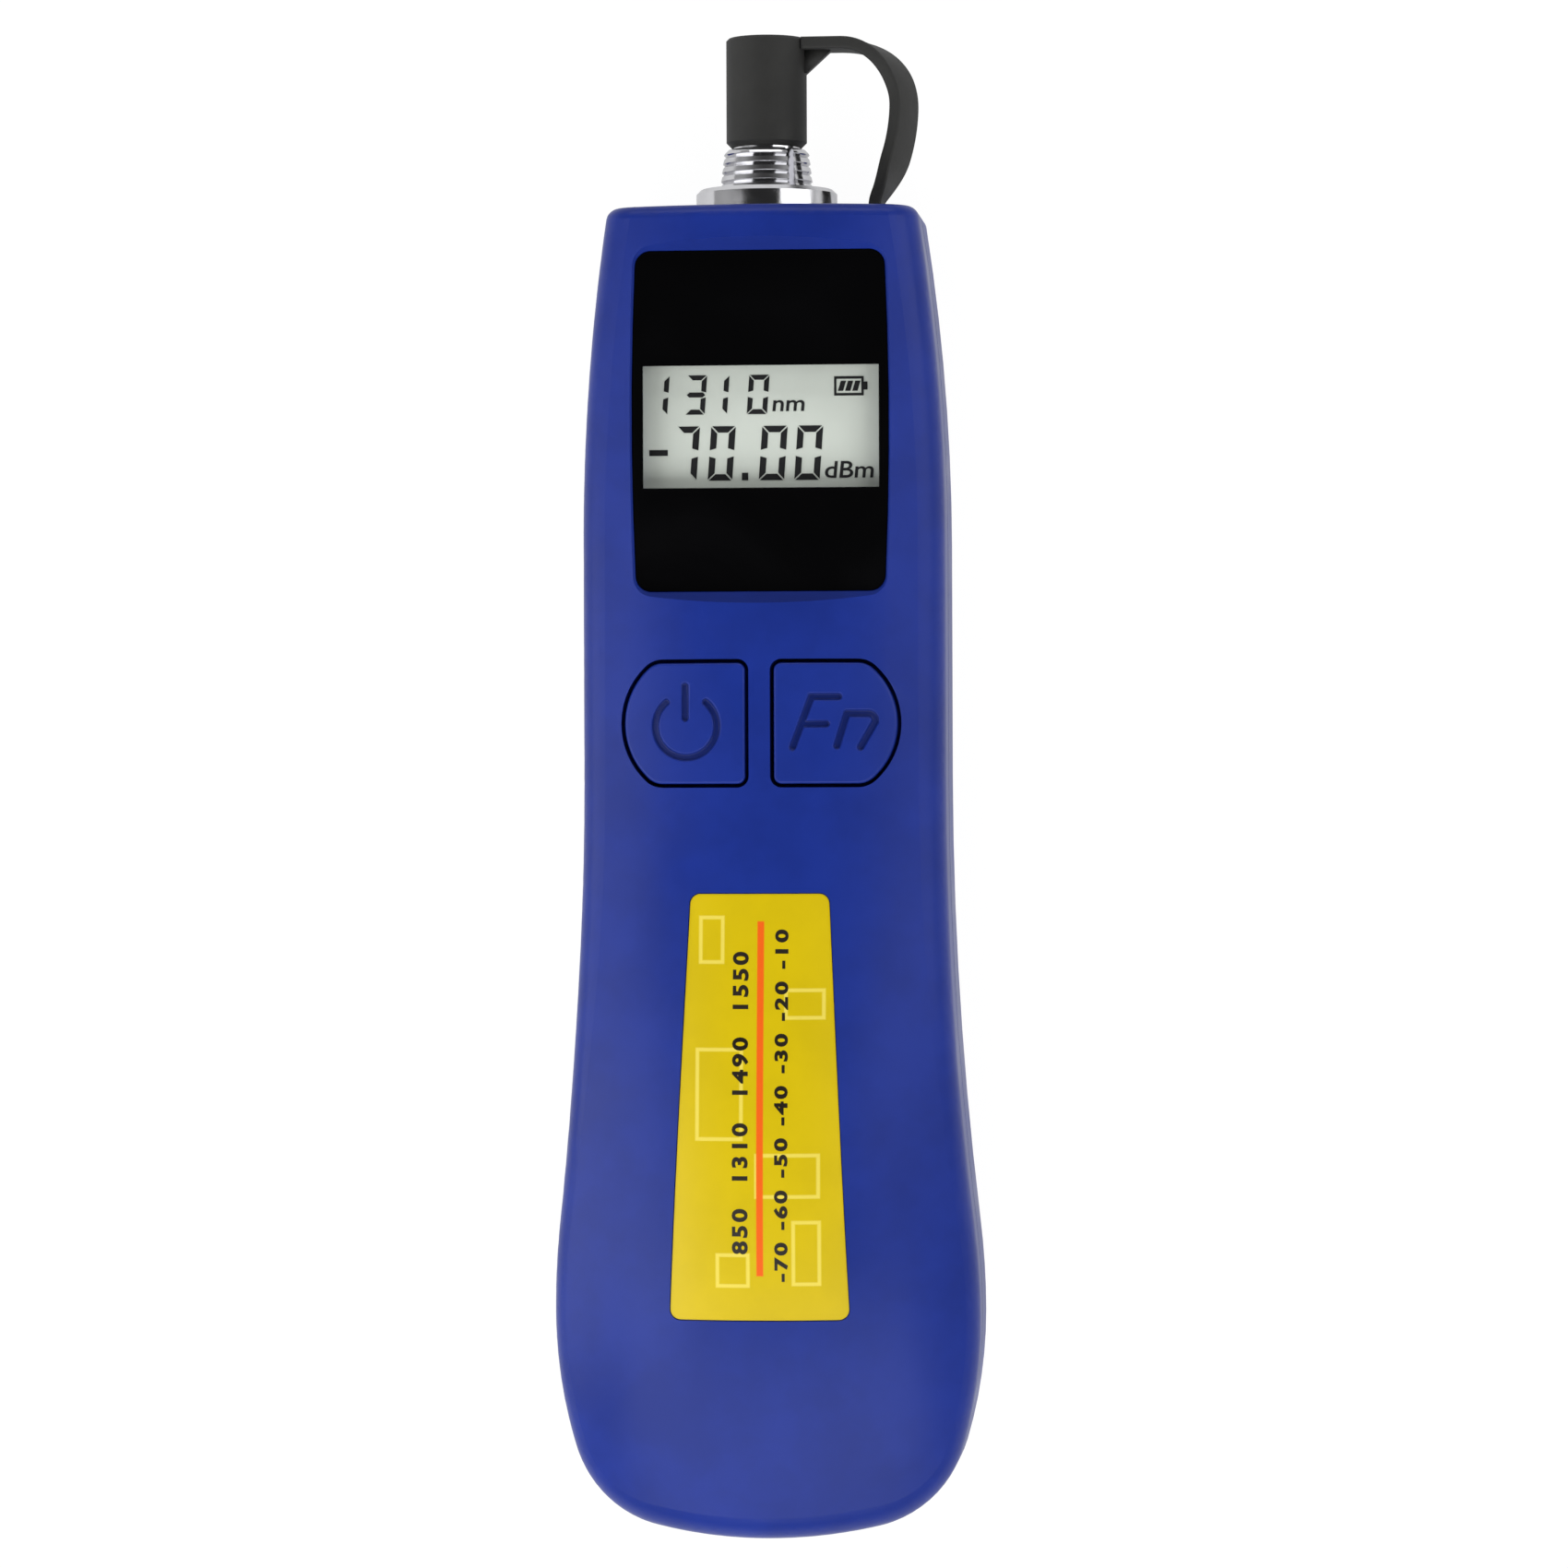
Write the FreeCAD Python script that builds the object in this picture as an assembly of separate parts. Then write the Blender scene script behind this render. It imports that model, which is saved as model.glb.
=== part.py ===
import FreeCAD, Part
import math
import os

# Hand-held optical power meter, in millimetres.
#
# It is drawn lying on its back: x across, y along it from the palm end to the port end, and
# z up from the flat back to the crowned front. It is saved with its origin on the back, half-way
# along the housing.

Vector = FreeCAD.Vector
X_AXIS = Vector(1, 0, 0)
Y_AXIS = Vector(0, 1, 0)
Z_AXIS = Vector(0, 0, 1)

# ---------------------------------------------------------------- driving dimensions
# Fits between pieces
slide_gap = 0.2             # round a piece that slides in plastic
key_gap = 0.45              # round a key in its opening
assembly_gap = 0.1          # between pieces that are dropped in and stay
thread_gap = 0.05           # radial, round a screw or a threaded piece
cap_gap = 0.03              # radial, rubber cap on the threaded barrel
wall = 2.0                  # of both housing shells

# Housing, seen from the front
body_length = 157.3
head_width = 36.7           # at the port end
grip_width = 43.0           # along the straight grip
palm_width = 50.6           # at its widest
palm_y = 26.0               # where it is widest
waist_y = 90.0              # where the flare towards the palm starts
shoulder_setback = 39.8     # straight grip ends this far from the port end
flare_hollow_share = 0.83   # share of the flare that curves inwards
palm_side_radius = 55.0
palm_corner_radius = 13.0
palm_end_radius = 66.0
head_rim_radius = 1.5

# Housing, seen from the side
head_height = 25.6
palm_swell = 4.0            # palm's peak above the head
palm_end_drop = 3.6         # palm end's edge below the head
palm_peak_y = 38.0
palm_fall_power = 2.2       # how late the palm falls away towards its end
head_crown_radius = 56.0
palm_crown_flatness = 10.7  # cross radius of its crown beyond half its width
front_edge_radius = 4.5
back_edge_radius = 5.0
inner_edge_radius = 0.5     # smallest rounding inside the shells
parting_above_middle = 0.2  # parting plane above half the head's height
reveal_width = 0.35         # groove round the parting line
lip_height = 1.3
lip_wall = 0.9

# Display window, seen from the front
window_width = 29.2         # at its corners
window_bow = 0.5            # its long sides bulge by this
window_length = 40.0
window_corner = 1.8
window_setback = 5.4        # from the port end of the housing
window_depth = 2.5          # pane's face below the crown of the head
window_slope = 0.56         # sideways run of the pocket's walls for each millimetre of depth
pane_thickness = 1.5
ledge_width = 0.6
ledge_thickness = 1.0
bezel_wall = 1.6

# Display behind the window
display_drop = 0.7          # its middle below the window's middle
display_glass_width = 30.6
display_glass_length = 18.0
display_glass_thickness = 2.0
display_proud = 0.5         # glass stands above its holder
holder_wall = 1.2
strip_width = 1.8           # elastic contact strips under the glass
backlight_width = 30.0

# Keys
key_width = 14.4
key_length = 14.2
key_web = 3.4               # housing left between the keys
key_arc_extra = 1.6         # outer side's radius beyond half the key's length
key_outer_blend = 2.6
key_inner_corner = 0.9
key_below_window = 8.5      # from the window's lower edge
key_recess = 0.05           # key's face below the housing's
key_travel = 0.8
key_flange_width = 1.0
key_flange_thickness = 1.0
key_seat_depth = 5.2        # from the head's crown to the rim that holds the key in
key_wall = 1.3
key_hollow_top = 0.4        # hollow's top above the rim that holds the key in
stem_diameter = 3.4
switch_size = 6.0
switch_leg_reach = 1.0
switch_leg_width = 0.7
switch_leg_thickness = 0.4
plunger_diameter = 3.2
plunger_gap = 0.05
plunger_stand = 1.55        # above the switch when it isn't pressed
plunger_guide = 0.4         # stays in the switch

# Label
label_below_keys = 12.9     # its upper edge, from the keys' lower edge
label_length = 49.7
label_top_width = 16.25
label_bottom_width = 21.1
label_corner = 1.2
label_thickness = 0.2
label_recess = 0.35

# Board
board_below_parting = 0.6
board_thickness = 1.6
board_width = 32.0
board_past_keys = 17.8      # lower edge, from the middle of the keys
board_corner = 1.0
board_setback = 11.8        # from the port end
post_diameter = 5.0
board_screw_x = 13.0
board_screw_inset = 4.5     # lower pair, from the board's edge
board_screw_diameter = 2.0
board_screw_length = 7.0
board_screw_head = 3.8
board_screw_head_height = 1.3
processor_width = 7.0
amplifier_width = 3.9
amplifier_length = 4.9
chip_height = 1.5
chip_leg = 0.9
chip_leg_thickness = 0.35
processor_legs = 6          # on each side
amplifier_legs = 4

# Case screws, and the heads of all screws
case_screw_diameter = 2.6
case_screw_under_pane = 1.6 # from the screws' tips
case_screw_head = 4.6
case_screw_head_height = 1.7
case_screw_depth = 6.0      # from the back to the seat of the head
case_boss_wall = 1.3
case_screw_x_head = 13.2
case_screw_x_grip = 16.2
case_screw_past_board = 8.5 # grip pair, from the board's lower edge
screw_head_edge = 0.4
screw_cross_share = 0.7     # of the head's diameter
screw_cross_width = 0.6
screw_cross_depth = 0.8

# Battery bay
cell_diameter = 10.5
cell_length = 44.5
cell_nub_diameter = 3.8
cell_nub_length = 1.0
cell_gap = 0.25
contact_space = 2.0         # from the bay's end wall to the cell
contact_sheet = 0.4
contact_width = 8.0
contact_leaf_width = 3.0
contact_tab_width = 2.4
contact_tab_on_board = 4.0
contact_leaf_margin = 1.0   # plate beyond the leaf's two feet
bay_y = 8.0
bay_wall = 1.5
deck_thickness = 1.5

# Battery door
door_width = 30.0
door_face_recess = 0.25     # door's face above the surface that the meter rests on
door_tongue = 1.5           # sideways
door_tongue_thickness = 1.0
door_past_bay = 3.2
door_groove_count = 5
door_groove_pitch = 1.8
door_groove_width = 0.8
door_groove_depth = 0.4
door_groove_length = 14.0

# Fibre port, on a line along y
flange_diameter = 16.8
flange_thickness = 2.6
flange_edge = 0.5
hub_bottom_diameter = 11.1
hub_top_diameter = 10.0
hub_length = 4.8
hub_ridge_pitch = 1.05
hub_ridge_depth = 0.25
hub_ridge_count = 4
hub_slot_width = 0.9
hub_slot_depth = 1.1
hub_slot_angle = 39.0       # from the front, towards +x
barrel_diameter = 8.0
barrel_bore = 6.2
barrel_length = 8.6
barrel_floor = 1.2          # bottom of the barrel's bore below its root
key_slot_width = 2.1
key_slot_length = 4.5
port_chamfer = 0.4          # of the hub and the barrel
tail_diameter = 9.0
tail_length = 9.0
tail_bore = 5.5
tail_bore_length = 6.0
sleeve_seat_depth = 2.5     # below the floor of the barrel's bore
sleeve_diameter = 3.6
sleeve_bore = 2.5
sleeve_length = 10.5
sleeve_slit = 0.4
aperture_diameter = 2.0
nut_across_flats = 11.0
nut_thickness = 2.5
washer_diameter = 12.5
washer_thickness = 0.6

# Photodiode in its can
can_diameter = 4.7
can_length = 3.0
can_flange_diameter = 5.4
can_flange_thickness = 0.6
lead_diameter = 0.5
lead_spread = 1.4
lead_past_holder = 1.0      # leads' feet, from the display's holder
retainer_thickness = 1.6
retainer_opening = 3.4

# Dust cap and its strap
cap_diameter = 9.6
cap_length = 13.0
cap_gap_to_hub = 0.3
cap_edge = 0.6
cap_top_thickness = 2.4
strap_thickness = 1.5
strap_width = 5.0
strap_run = 2.9             # straight run from the cap's side
strap_bow_radius = 9.45
strap_lower_radius = 10.5
strap_lower_angle = 45.0
strap_root_radius = 2.6
strap_anchor_width = 4.0
strap_anchor_length = 1.6
gusset_size = 3.0

# Room that the solids used for cutting and trimming have beyond the housing
trim_side = 6.0
trim_end = 12.0
crown_sections = 13
overlap = 0.5               # of solids that are fused

# ---------------------------------------------------------------- sizes worked out from those
palm_height = head_height + palm_swell
palm_end_height = head_height - palm_end_drop
palm_crown_radius = palm_width / 2 + palm_crown_flatness
above_all = palm_height + 10            # taller than the housing anywhere
parting_z = head_height / 2 + parting_above_middle
port_z = parting_z                      # both shells close on the port
board_z = parting_z - board_below_parting
shoulder_y = body_length - shoulder_setback
window_y = body_length - window_setback - window_length / 2
pane_top_z = head_height - window_depth
pane_z = pane_top_z - pane_thickness
ledge_z = pane_z - ledge_thickness
key_y = window_y - window_length / 2 - key_below_window - key_length / 2
key_x = (key_web + key_width) / 2
key_seat_z = head_height - key_seat_depth
board_y = key_y - board_past_keys
board_top_z = board_z + board_thickness
board_end_y = body_length - board_setback
label_y = key_y - key_length / 2 - label_below_keys - label_length
display_y = window_y - display_drop
display_top_z = ledge_z - assembly_gap / 2
holder_end_y = display_y + display_glass_length / 2 + assembly_gap + holder_wall
chip_y = (key_y + key_length / 2 + display_y - display_glass_length / 2) / 2
stem_z = key_seat_z - assembly_gap - key_flange_thickness - 0.5 * key_travel
plunger_top_z = stem_z - plunger_gap
switch_top_z = plunger_top_z - plunger_stand
door_tongue_z = wall + assembly_gap
door_inner_z = door_tongue_z + door_tongue_thickness
deck_z = door_inner_z + slide_gap
cell_z = door_inner_z + cell_gap + cell_diameter / 2
cell_x = cell_diameter / 2 + cell_gap / 2
bay_half_width = cell_x + cell_diameter / 2 + cell_gap
bay_roof_z = cell_z + cell_diameter / 2 + cell_gap
bay_end_y = bay_y + cell_length + 2 * contact_space
door_end_y = bay_end_y + door_past_bay
case_screw_length = pane_z - case_screw_under_pane - case_screw_depth
case_post_diameter = case_screw_head + 2 * case_boss_wall
case_screw_y_grip = board_y - case_screw_past_board
case_screw_y_head = body_length - wall - strap_anchor_length - slide_gap - case_post_diameter / 2
barrel_y = body_length + flange_thickness + hub_length
cap_y = barrel_y + cap_gap_to_hub
strap_y = cap_y + cap_length - strap_thickness / 2


# ---------------------------------------------------------------- plain solids
def box(x0, x1, y0, y1, z0, z1):
    return Part.makeBox(x1 - x0, y1 - y0, z1 - z0, Vector(x0, y0, z0))


def block(x, y, width, length, z0, z1):
    """A box centred on x, y."""
    return box(x - width / 2, x + width / 2, y - length / 2, y + length / 2, z0, z1)


def post(x, y, diameter, z0, z1):
    return Part.makeCylinder(diameter / 2, z1 - z0, Vector(x, y, z0), Z_AXIS)


def bar(x, z, diameter, y0, y1):
    return Part.makeCylinder(diameter / 2, y1 - y0, Vector(x, y0, z), Y_AXIS)


def mirrored(shape):
    """The same shape on the other side of the meter."""
    return shape.mirror(Vector(0, 0, 0), X_AXIS)


def both_sides(shape):
    return [shape, mirrored(shape)]


def fuse(shapes):
    return shapes[0].multiFuse(list(shapes[1:])).removeSplitter()


def turned(points):
    """A closed profile of (radius, y) points, turned about the port's line."""
    corners = [Vector(radius, y, port_z) for radius, y in points]
    face = Part.Face(Part.makePolygon(corners + corners[:1]))
    return face.revolve(Vector(0, 0, port_z), Y_AXIS, 360)


def round_uprights(solid, radius, wanted):
    """Rounds the edges along z for which wanted(middle of the edge) holds."""
    edges = []
    for edge in solid.Edges:
        ends = edge.Vertexes
        if len(ends) != 2:
            continue
        run = ends[1].Point - ends[0].Point
        if abs(run.z) > 0.99 * run.Length and wanted((ends[0].Point + ends[1].Point) * 0.5):
            edges.append(edge)
    return solid.makeFillet(radius, edges)


# ---------------------------------------------------------------- housing form
def arc(centre_x, centre_y, radius, start, end):
    """An arc about a centre, between two angles in radians."""
    points = [Vector(centre_x + radius * math.cos(a), centre_y + radius * math.sin(a), 0)
              for a in (start, (start + end) / 2, end)]
    return Part.Arc(*points).toShape()


def corner_centre(side_x, side_y, side_radius, end_y, end_radius, radius):
    """Centre of the circle that touches the side arc and the end arc from inside."""
    from_end = end_radius - radius
    from_side = side_radius - radius
    run_x = side_x
    run_y = side_y - end_y
    apart = math.hypot(run_x, run_y)
    along = (from_end ** 2 - from_side ** 2 + apart ** 2) / (2 * apart)
    across = math.sqrt(from_end ** 2 - along ** 2)
    x = (along * run_x - across * run_y) / apart
    y = end_y + (along * run_y + across * run_x) / apart
    if x < 0:
        x = (along * run_x + across * run_y) / apart
        y = end_y + (along * run_y - across * run_x) / apart
    return x, y


def half_outline(inset):
    """Right half of the plan outline, moved inwards by inset, as arcs that run into each other."""
    head, grip, palm = head_width / 2, grip_width / 2, palm_width / 2
    side_x = palm - palm_side_radius
    corner_x, corner_y = corner_centre(side_x, palm_y, palm_side_radius,
                                       palm_end_radius, palm_end_radius, palm_corner_radius)
    end_angle = math.atan2(corner_y - palm_end_radius, corner_x)
    side_angle = math.atan2(corner_y - palm_y, corner_x - side_x)
    edges = [
        arc(0, palm_end_radius, palm_end_radius - inset, -math.pi / 2, end_angle),
        arc(corner_x, corner_y, palm_corner_radius - inset, end_angle, side_angle),
        arc(side_x, palm_y, palm_side_radius - inset, side_angle, 0),
    ]
    # the flare: one arc bulges out of the palm, the next hollows into the grip
    lean = 2 * math.atan2(palm - grip, waist_y - palm_y)
    both_radii = (waist_y - palm_y) / math.sin(lean)
    hollow = both_radii * flare_hollow_share
    bulge = both_radii - hollow
    edges.append(arc(palm - bulge, palm_y, bulge - inset, 0, lean))
    edges.append(arc(grip + hollow, waist_y, hollow + inset, math.pi + lean, math.pi))
    edges.append(Part.LineSegment(Vector(grip - inset, waist_y, 0),
                                  Vector(grip - inset, shoulder_y, 0)).toShape())
    # the shoulder leans in to the head's width at the port end
    narrowing = grip - head
    radius = (narrowing ** 2 + shoulder_setback ** 2) / (2 * narrowing)
    top_y = body_length - inset
    turn = math.asin((top_y - shoulder_y) / (radius - inset))
    edges.append(arc(grip - radius, shoulder_y, radius - inset, 0, turn))
    top_x = grip - radius + (radius - inset) * math.cos(turn)
    edges.append(Part.LineSegment(Vector(top_x, top_y, 0), Vector(0, top_y, 0)).toShape())
    return edges


def plan_prism(inset, z0, z1):
    """The plan outline moved in by inset, as an upright block."""
    half = half_outline(inset)
    whole = half + [mirrored(edge) for edge in half]
    face = Part.Face(Part.Wire(Part.__sortEdges__(whole)))
    face.translate(Vector(0, 0, z0))
    return face.extrude(Vector(0, 0, z1 - z0))


def blend(share):
    """0 to 1 with level ends."""
    return (1 - math.cos(math.pi * share)) / 2


def crown_at(y):
    """Height and cross radius of the front's crown at y."""
    if y >= waist_y:
        return head_height, head_crown_radius
    if y >= palm_peak_y:
        share = blend((waist_y - y) / (waist_y - palm_peak_y))
        height = head_height + (palm_height - head_height) * share
        return height, head_crown_radius + (palm_crown_radius - head_crown_radius) * share
    fall = ((palm_peak_y - y) / palm_peak_y) ** palm_fall_power
    return palm_height - (palm_height - palm_end_height) * fall, palm_crown_radius


def crown_block(drop):
    """Everything under the crowned front, lowered by drop."""
    half = palm_width / 2 + trim_side
    pitch = (body_length + 2 * trim_end) / (crown_sections - 1)
    sections = []
    for i in range(crown_sections):
        y = i * pitch - trim_end
        height, radius = crown_at(y)
        height, radius = height - drop, radius - drop
        edge_z = height - radius + math.sqrt(radius ** 2 - half ** 2)
        left, right = Vector(-half, y, edge_z), Vector(half, y, edge_z)
        foot_left, foot_right = Vector(-half, y, -wall), Vector(half, y, -wall)
        sections.append(Part.Wire([
            Part.LineSegment(foot_left, foot_right).toShape(),
            Part.LineSegment(foot_right, right).toShape(),
            Part.Arc(right, Vector(0, y, height), left).toShape(),
            Part.LineSegment(left, foot_left).toShape(),
        ]))
    return Part.makeLoft(sections, True, False)


def skin(inset):
    """The housing as one solid, with every outer face moved in by inset."""
    body = plan_prism(inset, inset, above_all).common(crown_block(inset))
    top_y = body_length - inset

    def edges_that(test):
        return [edge for edge in body.Edges if test(edge.BoundBox)]

    front = edges_that(lambda b: b.ZMin > parting_z and b.YMin < top_y - 0.01)
    body = body.makeFillet(max(front_edge_radius - inset, inner_edge_radius), front)
    back = edges_that(lambda b: b.ZMax < inset + 0.01 and b.YMin < top_y - 0.01)
    body = body.makeFillet(max(back_edge_radius - inset, inner_edge_radius), back)
    rim = edges_that(lambda b: b.YMin > top_y - 0.01)
    return body.makeFillet(max(head_rim_radius - inset, inner_edge_radius), rim)


def window_prism(grow, z0, z1):
    """The window's outline with bowed sides, grown all round by grow."""
    half_x, half_y = window_width / 2 + grow, window_length / 2 + grow
    low_y, high_y = window_y - half_y, window_y + half_y
    right = Part.Arc(Vector(half_x, low_y, z0), Vector(half_x + window_bow, window_y, z0),
                     Vector(half_x, high_y, z0)).toShape()
    left = Part.Arc(Vector(-half_x, high_y, z0), Vector(-half_x - window_bow, window_y, z0),
                    Vector(-half_x, low_y, z0)).toShape()
    top = Part.LineSegment(Vector(half_x, high_y, z0), Vector(-half_x, high_y, z0)).toShape()
    bottom = Part.LineSegment(Vector(-half_x, low_y, z0), Vector(half_x, low_y, z0)).toShape()
    prism = Part.Face(Part.Wire([right, top, left, bottom])).extrude(Vector(0, 0, z1 - z0))
    return round_uprights(prism, max(window_corner + grow, inner_edge_radius), lambda p: True)


def key_prism(side, grow, z0, z1):
    """A key's D outline grown by grow: straight towards the other key, an arc outside."""
    inner_x = key_x - key_width / 2 - grow
    outer_x = key_x + key_width / 2 + grow
    half_y = key_length / 2 + grow
    radius = half_y + key_arc_extra
    corner_x = outer_x - radius + math.sqrt(radius ** 2 - half_y ** 2)
    points = [Vector(x, key_y + y, z0) for x, y in
              ((inner_x, -half_y), (corner_x, -half_y), (corner_x, half_y), (inner_x, half_y))]
    outer = Part.Arc(points[1], Vector(outer_x, key_y, z0), points[2]).toShape()
    edges = [Part.LineSegment(points[0], points[1]).toShape(), outer,
             Part.LineSegment(points[2], points[3]).toShape(),
             Part.LineSegment(points[3], points[0]).toShape()]
    prism = Part.Face(Part.Wire(edges)).extrude(Vector(0, 0, z1 - z0))
    inner = max(key_inner_corner + grow, inner_edge_radius)
    prism = round_uprights(prism, inner, lambda p: p.x < key_x)
    blend_radius = max(key_outer_blend + grow, inner_edge_radius)
    prism = round_uprights(prism, blend_radius, lambda p: abs(p.x - corner_x) < 0.01)
    return prism if side > 0 else mirrored(prism)


def case_screw_places():
    return [(side * case_screw_x_head, case_screw_y_head) for side in (-1, 1)] + \
           [(side * case_screw_x_grip, case_screw_y_grip) for side in (-1, 1)]


def board_screw_places():
    return [(side * board_screw_x, y) for y in (board_y + board_screw_inset, chip_y)
            for side in (-1, 1)]


def port_hole():
    return bar(0, port_z, tail_diameter + 2 * thread_gap, body_length - 2 * wall, body_length + 1)


def strap_slot(grow):
    """The strap's way through the port end, and its anchor behind the wall."""
    x = strap_root_x()
    return box(x - strap_thickness / 2 - grow, x + strap_thickness / 2 + grow,
               body_length - 2 * wall, body_length + 1,
               port_z - strap_width / 2 - grow, port_z + strap_width / 2 + grow)


# ---------------------------------------------------------------- housing shells
def bosses(places, diameter, z0, z1):
    return [post(x, y, diameter, z0, z1) for x, y in places]


def door_channel(grow):
    """Room for the door: its panel, and above that its wider tongues, open at the palm end."""
    half = door_width / 2 + grow
    end = door_end_y + grow
    panel = box(-half, half, -wall, end, -1, door_inner_z + grow)
    tongues = box(-half - door_tongue, half + door_tongue, -wall, end,
                  door_tongue_z - min(grow, assembly_gap), door_inner_z + grow)
    return panel.fuse(tongues)


def level(z0, z1):
    """Everything between two heights."""
    reach = body_length
    return box(-reach, reach, -reach, 2 * reach, z0, z1)


def perimeter_ring(outside, inside, z0, z1):
    """Upright ring that follows the plan outline, between two insets."""
    return plan_prism(outside, z0, z1).cut(plan_prism(inside, z0 - 1, z1 + 1))


def rear_shell(outer, inner):
    """Lower shell: the solid lower half, less a cavity that leaves its walls and inner parts."""
    bay = box(-bay_half_width - bay_wall, bay_half_width + bay_wall,
              bay_y - bay_wall, bay_end_y + bay_wall, wall, bay_roof_z + bay_wall)
    # a deck over the door's channel ties the bay to the side walls
    deck = level(0, deck_z + deck_thickness).common(
        box(-palm_width, palm_width, -wall, door_end_y + wall, 0, above_all))
    kept = [bay, deck]
    kept += bosses(case_screw_places(), case_post_diameter, 0, above_all)
    kept += bosses(board_screw_places(), post_diameter, 0, board_z)
    cavity = inner.common(level(0, parting_z + 1)).cut(fuse(kept))
    upper_bay = bay.common(level(parting_z - wall, above_all))
    shell = outer.common(level(-1, parting_z)).fuse(upper_bay).cut(cavity)
    # the step that takes the front shell's lip, then all the openings
    step = perimeter_ring(lip_wall, wall + assembly_gap,
                          parting_z - lip_height - assembly_gap, parting_z + 1)
    cuts = [door_channel(slide_gap), port_hole(), strap_slot(assembly_gap)]
    cuts.append(box(-bay_half_width, bay_half_width, bay_y, bay_end_y, wall / 2, bay_roof_z))
    for x in (-cell_x, cell_x):
        cuts.append(block(x, bay_end_y + bay_wall / 2, contact_tab_width + 2 * assembly_gap,
                          2 * bay_wall, board_z - contact_sheet - assembly_gap,
                          board_z + assembly_gap))
    cuts += bosses(case_screw_places(), case_screw_head + 2 * thread_gap, -1, case_screw_depth)
    cuts += bosses(case_screw_places(), case_screw_diameter + 2 * thread_gap, 0, parting_z + 1)
    pilot = board_screw_diameter + 2 * thread_gap
    cuts += bosses(board_screw_places(), pilot, wall, board_z + 1)
    return cut_each(shell.cut(step), cuts)


def cut_each(solid, cuts):
    for each in cuts:
        solid = solid.cut(each)
    return solid


def front_shell(outer, inner):
    """Upper shell: the solid upper half, less a cavity that leaves its walls and inner parts."""
    kept = [window_prism(bezel_wall, ledge_z, above_all)]
    for side in (-1, 1):
        kept.append(key_prism(side, key_gap + key_flange_width + bezel_wall, key_seat_z,
                              above_all))
    kept += bosses(case_screw_places(),
                   case_screw_diameter + 2 * thread_gap + 2 * case_boss_wall, 0, above_all)
    cavity = inner.common(level(parting_z - 1, above_all)).cut(fuse(kept))
    shell = outer.common(level(parting_z, above_all)).cut(cavity)
    lip = perimeter_ring(lip_wall + assembly_gap, wall - assembly_gap / 2,
                         parting_z - lip_height, parting_z + wall)
    shell = shell.fuse(lip).removeSplitter()
    reveal = perimeter_ring(-1, reveal_width, parting_z, parting_z + reveal_width)
    # pocket with sloping walls, recess for the pane, and the view through the ledge
    high = head_height + 2
    low_ring = window_prism(assembly_gap, pane_top_z, pane_top_z + 1)
    high_ring = window_prism(assembly_gap + window_slope * (high - pane_top_z), high - 1, high)
    pocket = Part.makeLoft([face_at(low_ring, pane_top_z).OuterWire,
                            face_at(high_ring, high).OuterWire], True, True)
    cuts = [reveal, pocket, window_prism(assembly_gap, pane_z, pane_top_z + 0.01),
            window_prism(-ledge_width, 0, pane_top_z), port_hole(), strap_slot(assembly_gap)]
    for side in (-1, 1):
        cuts.append(key_prism(side, key_gap, 0, above_all))
    cuts += bosses(case_screw_places(), case_screw_diameter + 2 * thread_gap, 0,
                   case_screw_depth + case_screw_length + 1)
    cuts.append(label_prism(assembly_gap, above_all).cut(crown_block(label_recess)))
    return cut_each(shell, cuts)


def face_at(solid, z):
    """The level face of a solid at height z."""
    return min(solid.Faces, key=lambda face: abs(face.CenterOfMass.z - z))


# ---------------------------------------------------------------- front pieces
def label_prism(grow, z1):
    """The label's tapering outline with round corners."""
    top, bottom = label_top_width / 2 + grow, label_bottom_width / 2 + grow
    low_y, high_y = label_y - grow, label_y + label_length + grow
    z0 = parting_z
    points = [Vector(-bottom, low_y, z0), Vector(bottom, low_y, z0),
              Vector(top, high_y, z0), Vector(-top, high_y, z0)]
    prism = Part.Face(Part.makePolygon(points + points[:1])).extrude(Vector(0, 0, z1 - z0))
    return round_uprights(prism, label_corner + grow, lambda p: True)


def front_label():
    sheet = label_prism(0, above_all).common(crown_block(label_recess - label_thickness))
    return sheet.cut(crown_block(label_recess))


def display_window():
    return window_prism(0, pane_z, pane_top_z)


def key(side, outer):
    """Key cap: hollow below its face, with a flange that keeps it in and a stem."""
    flange_top = key_seat_z - assembly_gap
    flange_z = flange_top - key_flange_thickness
    face = key_prism(side, 0, flange_z, above_all).common(outer)
    flange = key_prism(side, key_gap + key_flange_width - slide_gap, flange_z, flange_top)
    body = face.fuse(flange)
    hollow_top = key_seat_z + key_hollow_top
    hollow = key_prism(side, -key_wall, flange_z - 1, hollow_top)
    stem = post(side * key_x, key_y, stem_diameter, stem_z, hollow_top + overlap)
    return body.cut(hollow).fuse(stem).removeSplitter()


def key_plunger(side):
    bottom = switch_top_z - plunger_guide
    return post(side * key_x, key_y, plunger_diameter, bottom, plunger_top_z)


def key_switch(side):
    """Switch base with a well for its plunger and four legs bent on to the board."""
    x = side * key_x
    base = block(x, key_y, switch_size, switch_size, board_top_z, switch_top_z)
    well_floor = switch_top_z - plunger_guide - key_travel - slide_gap
    base = base.cut(post(x, key_y, plunger_diameter + 2 * slide_gap, well_floor, switch_top_z + 1))
    reach = switch_size + 2 * switch_leg_reach
    legs = [block(x, key_y + b * switch_size / 3, reach, switch_leg_width,
                  board_top_z, board_top_z + switch_leg_thickness) for b in (-1, 1)]
    return fuse([base] + legs)


# ---------------------------------------------------------------- board and display
def main_board():
    board = box(-board_width / 2, board_width / 2, board_y, board_end_y, board_z, board_top_z)
    board = round_uprights(board, board_corner, lambda p: True)
    return board.cut(fuse(bosses(board_screw_places(), board_screw_diameter + 4 * thread_gap,
                                 board_z - 1, board_top_z + 1)))


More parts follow.
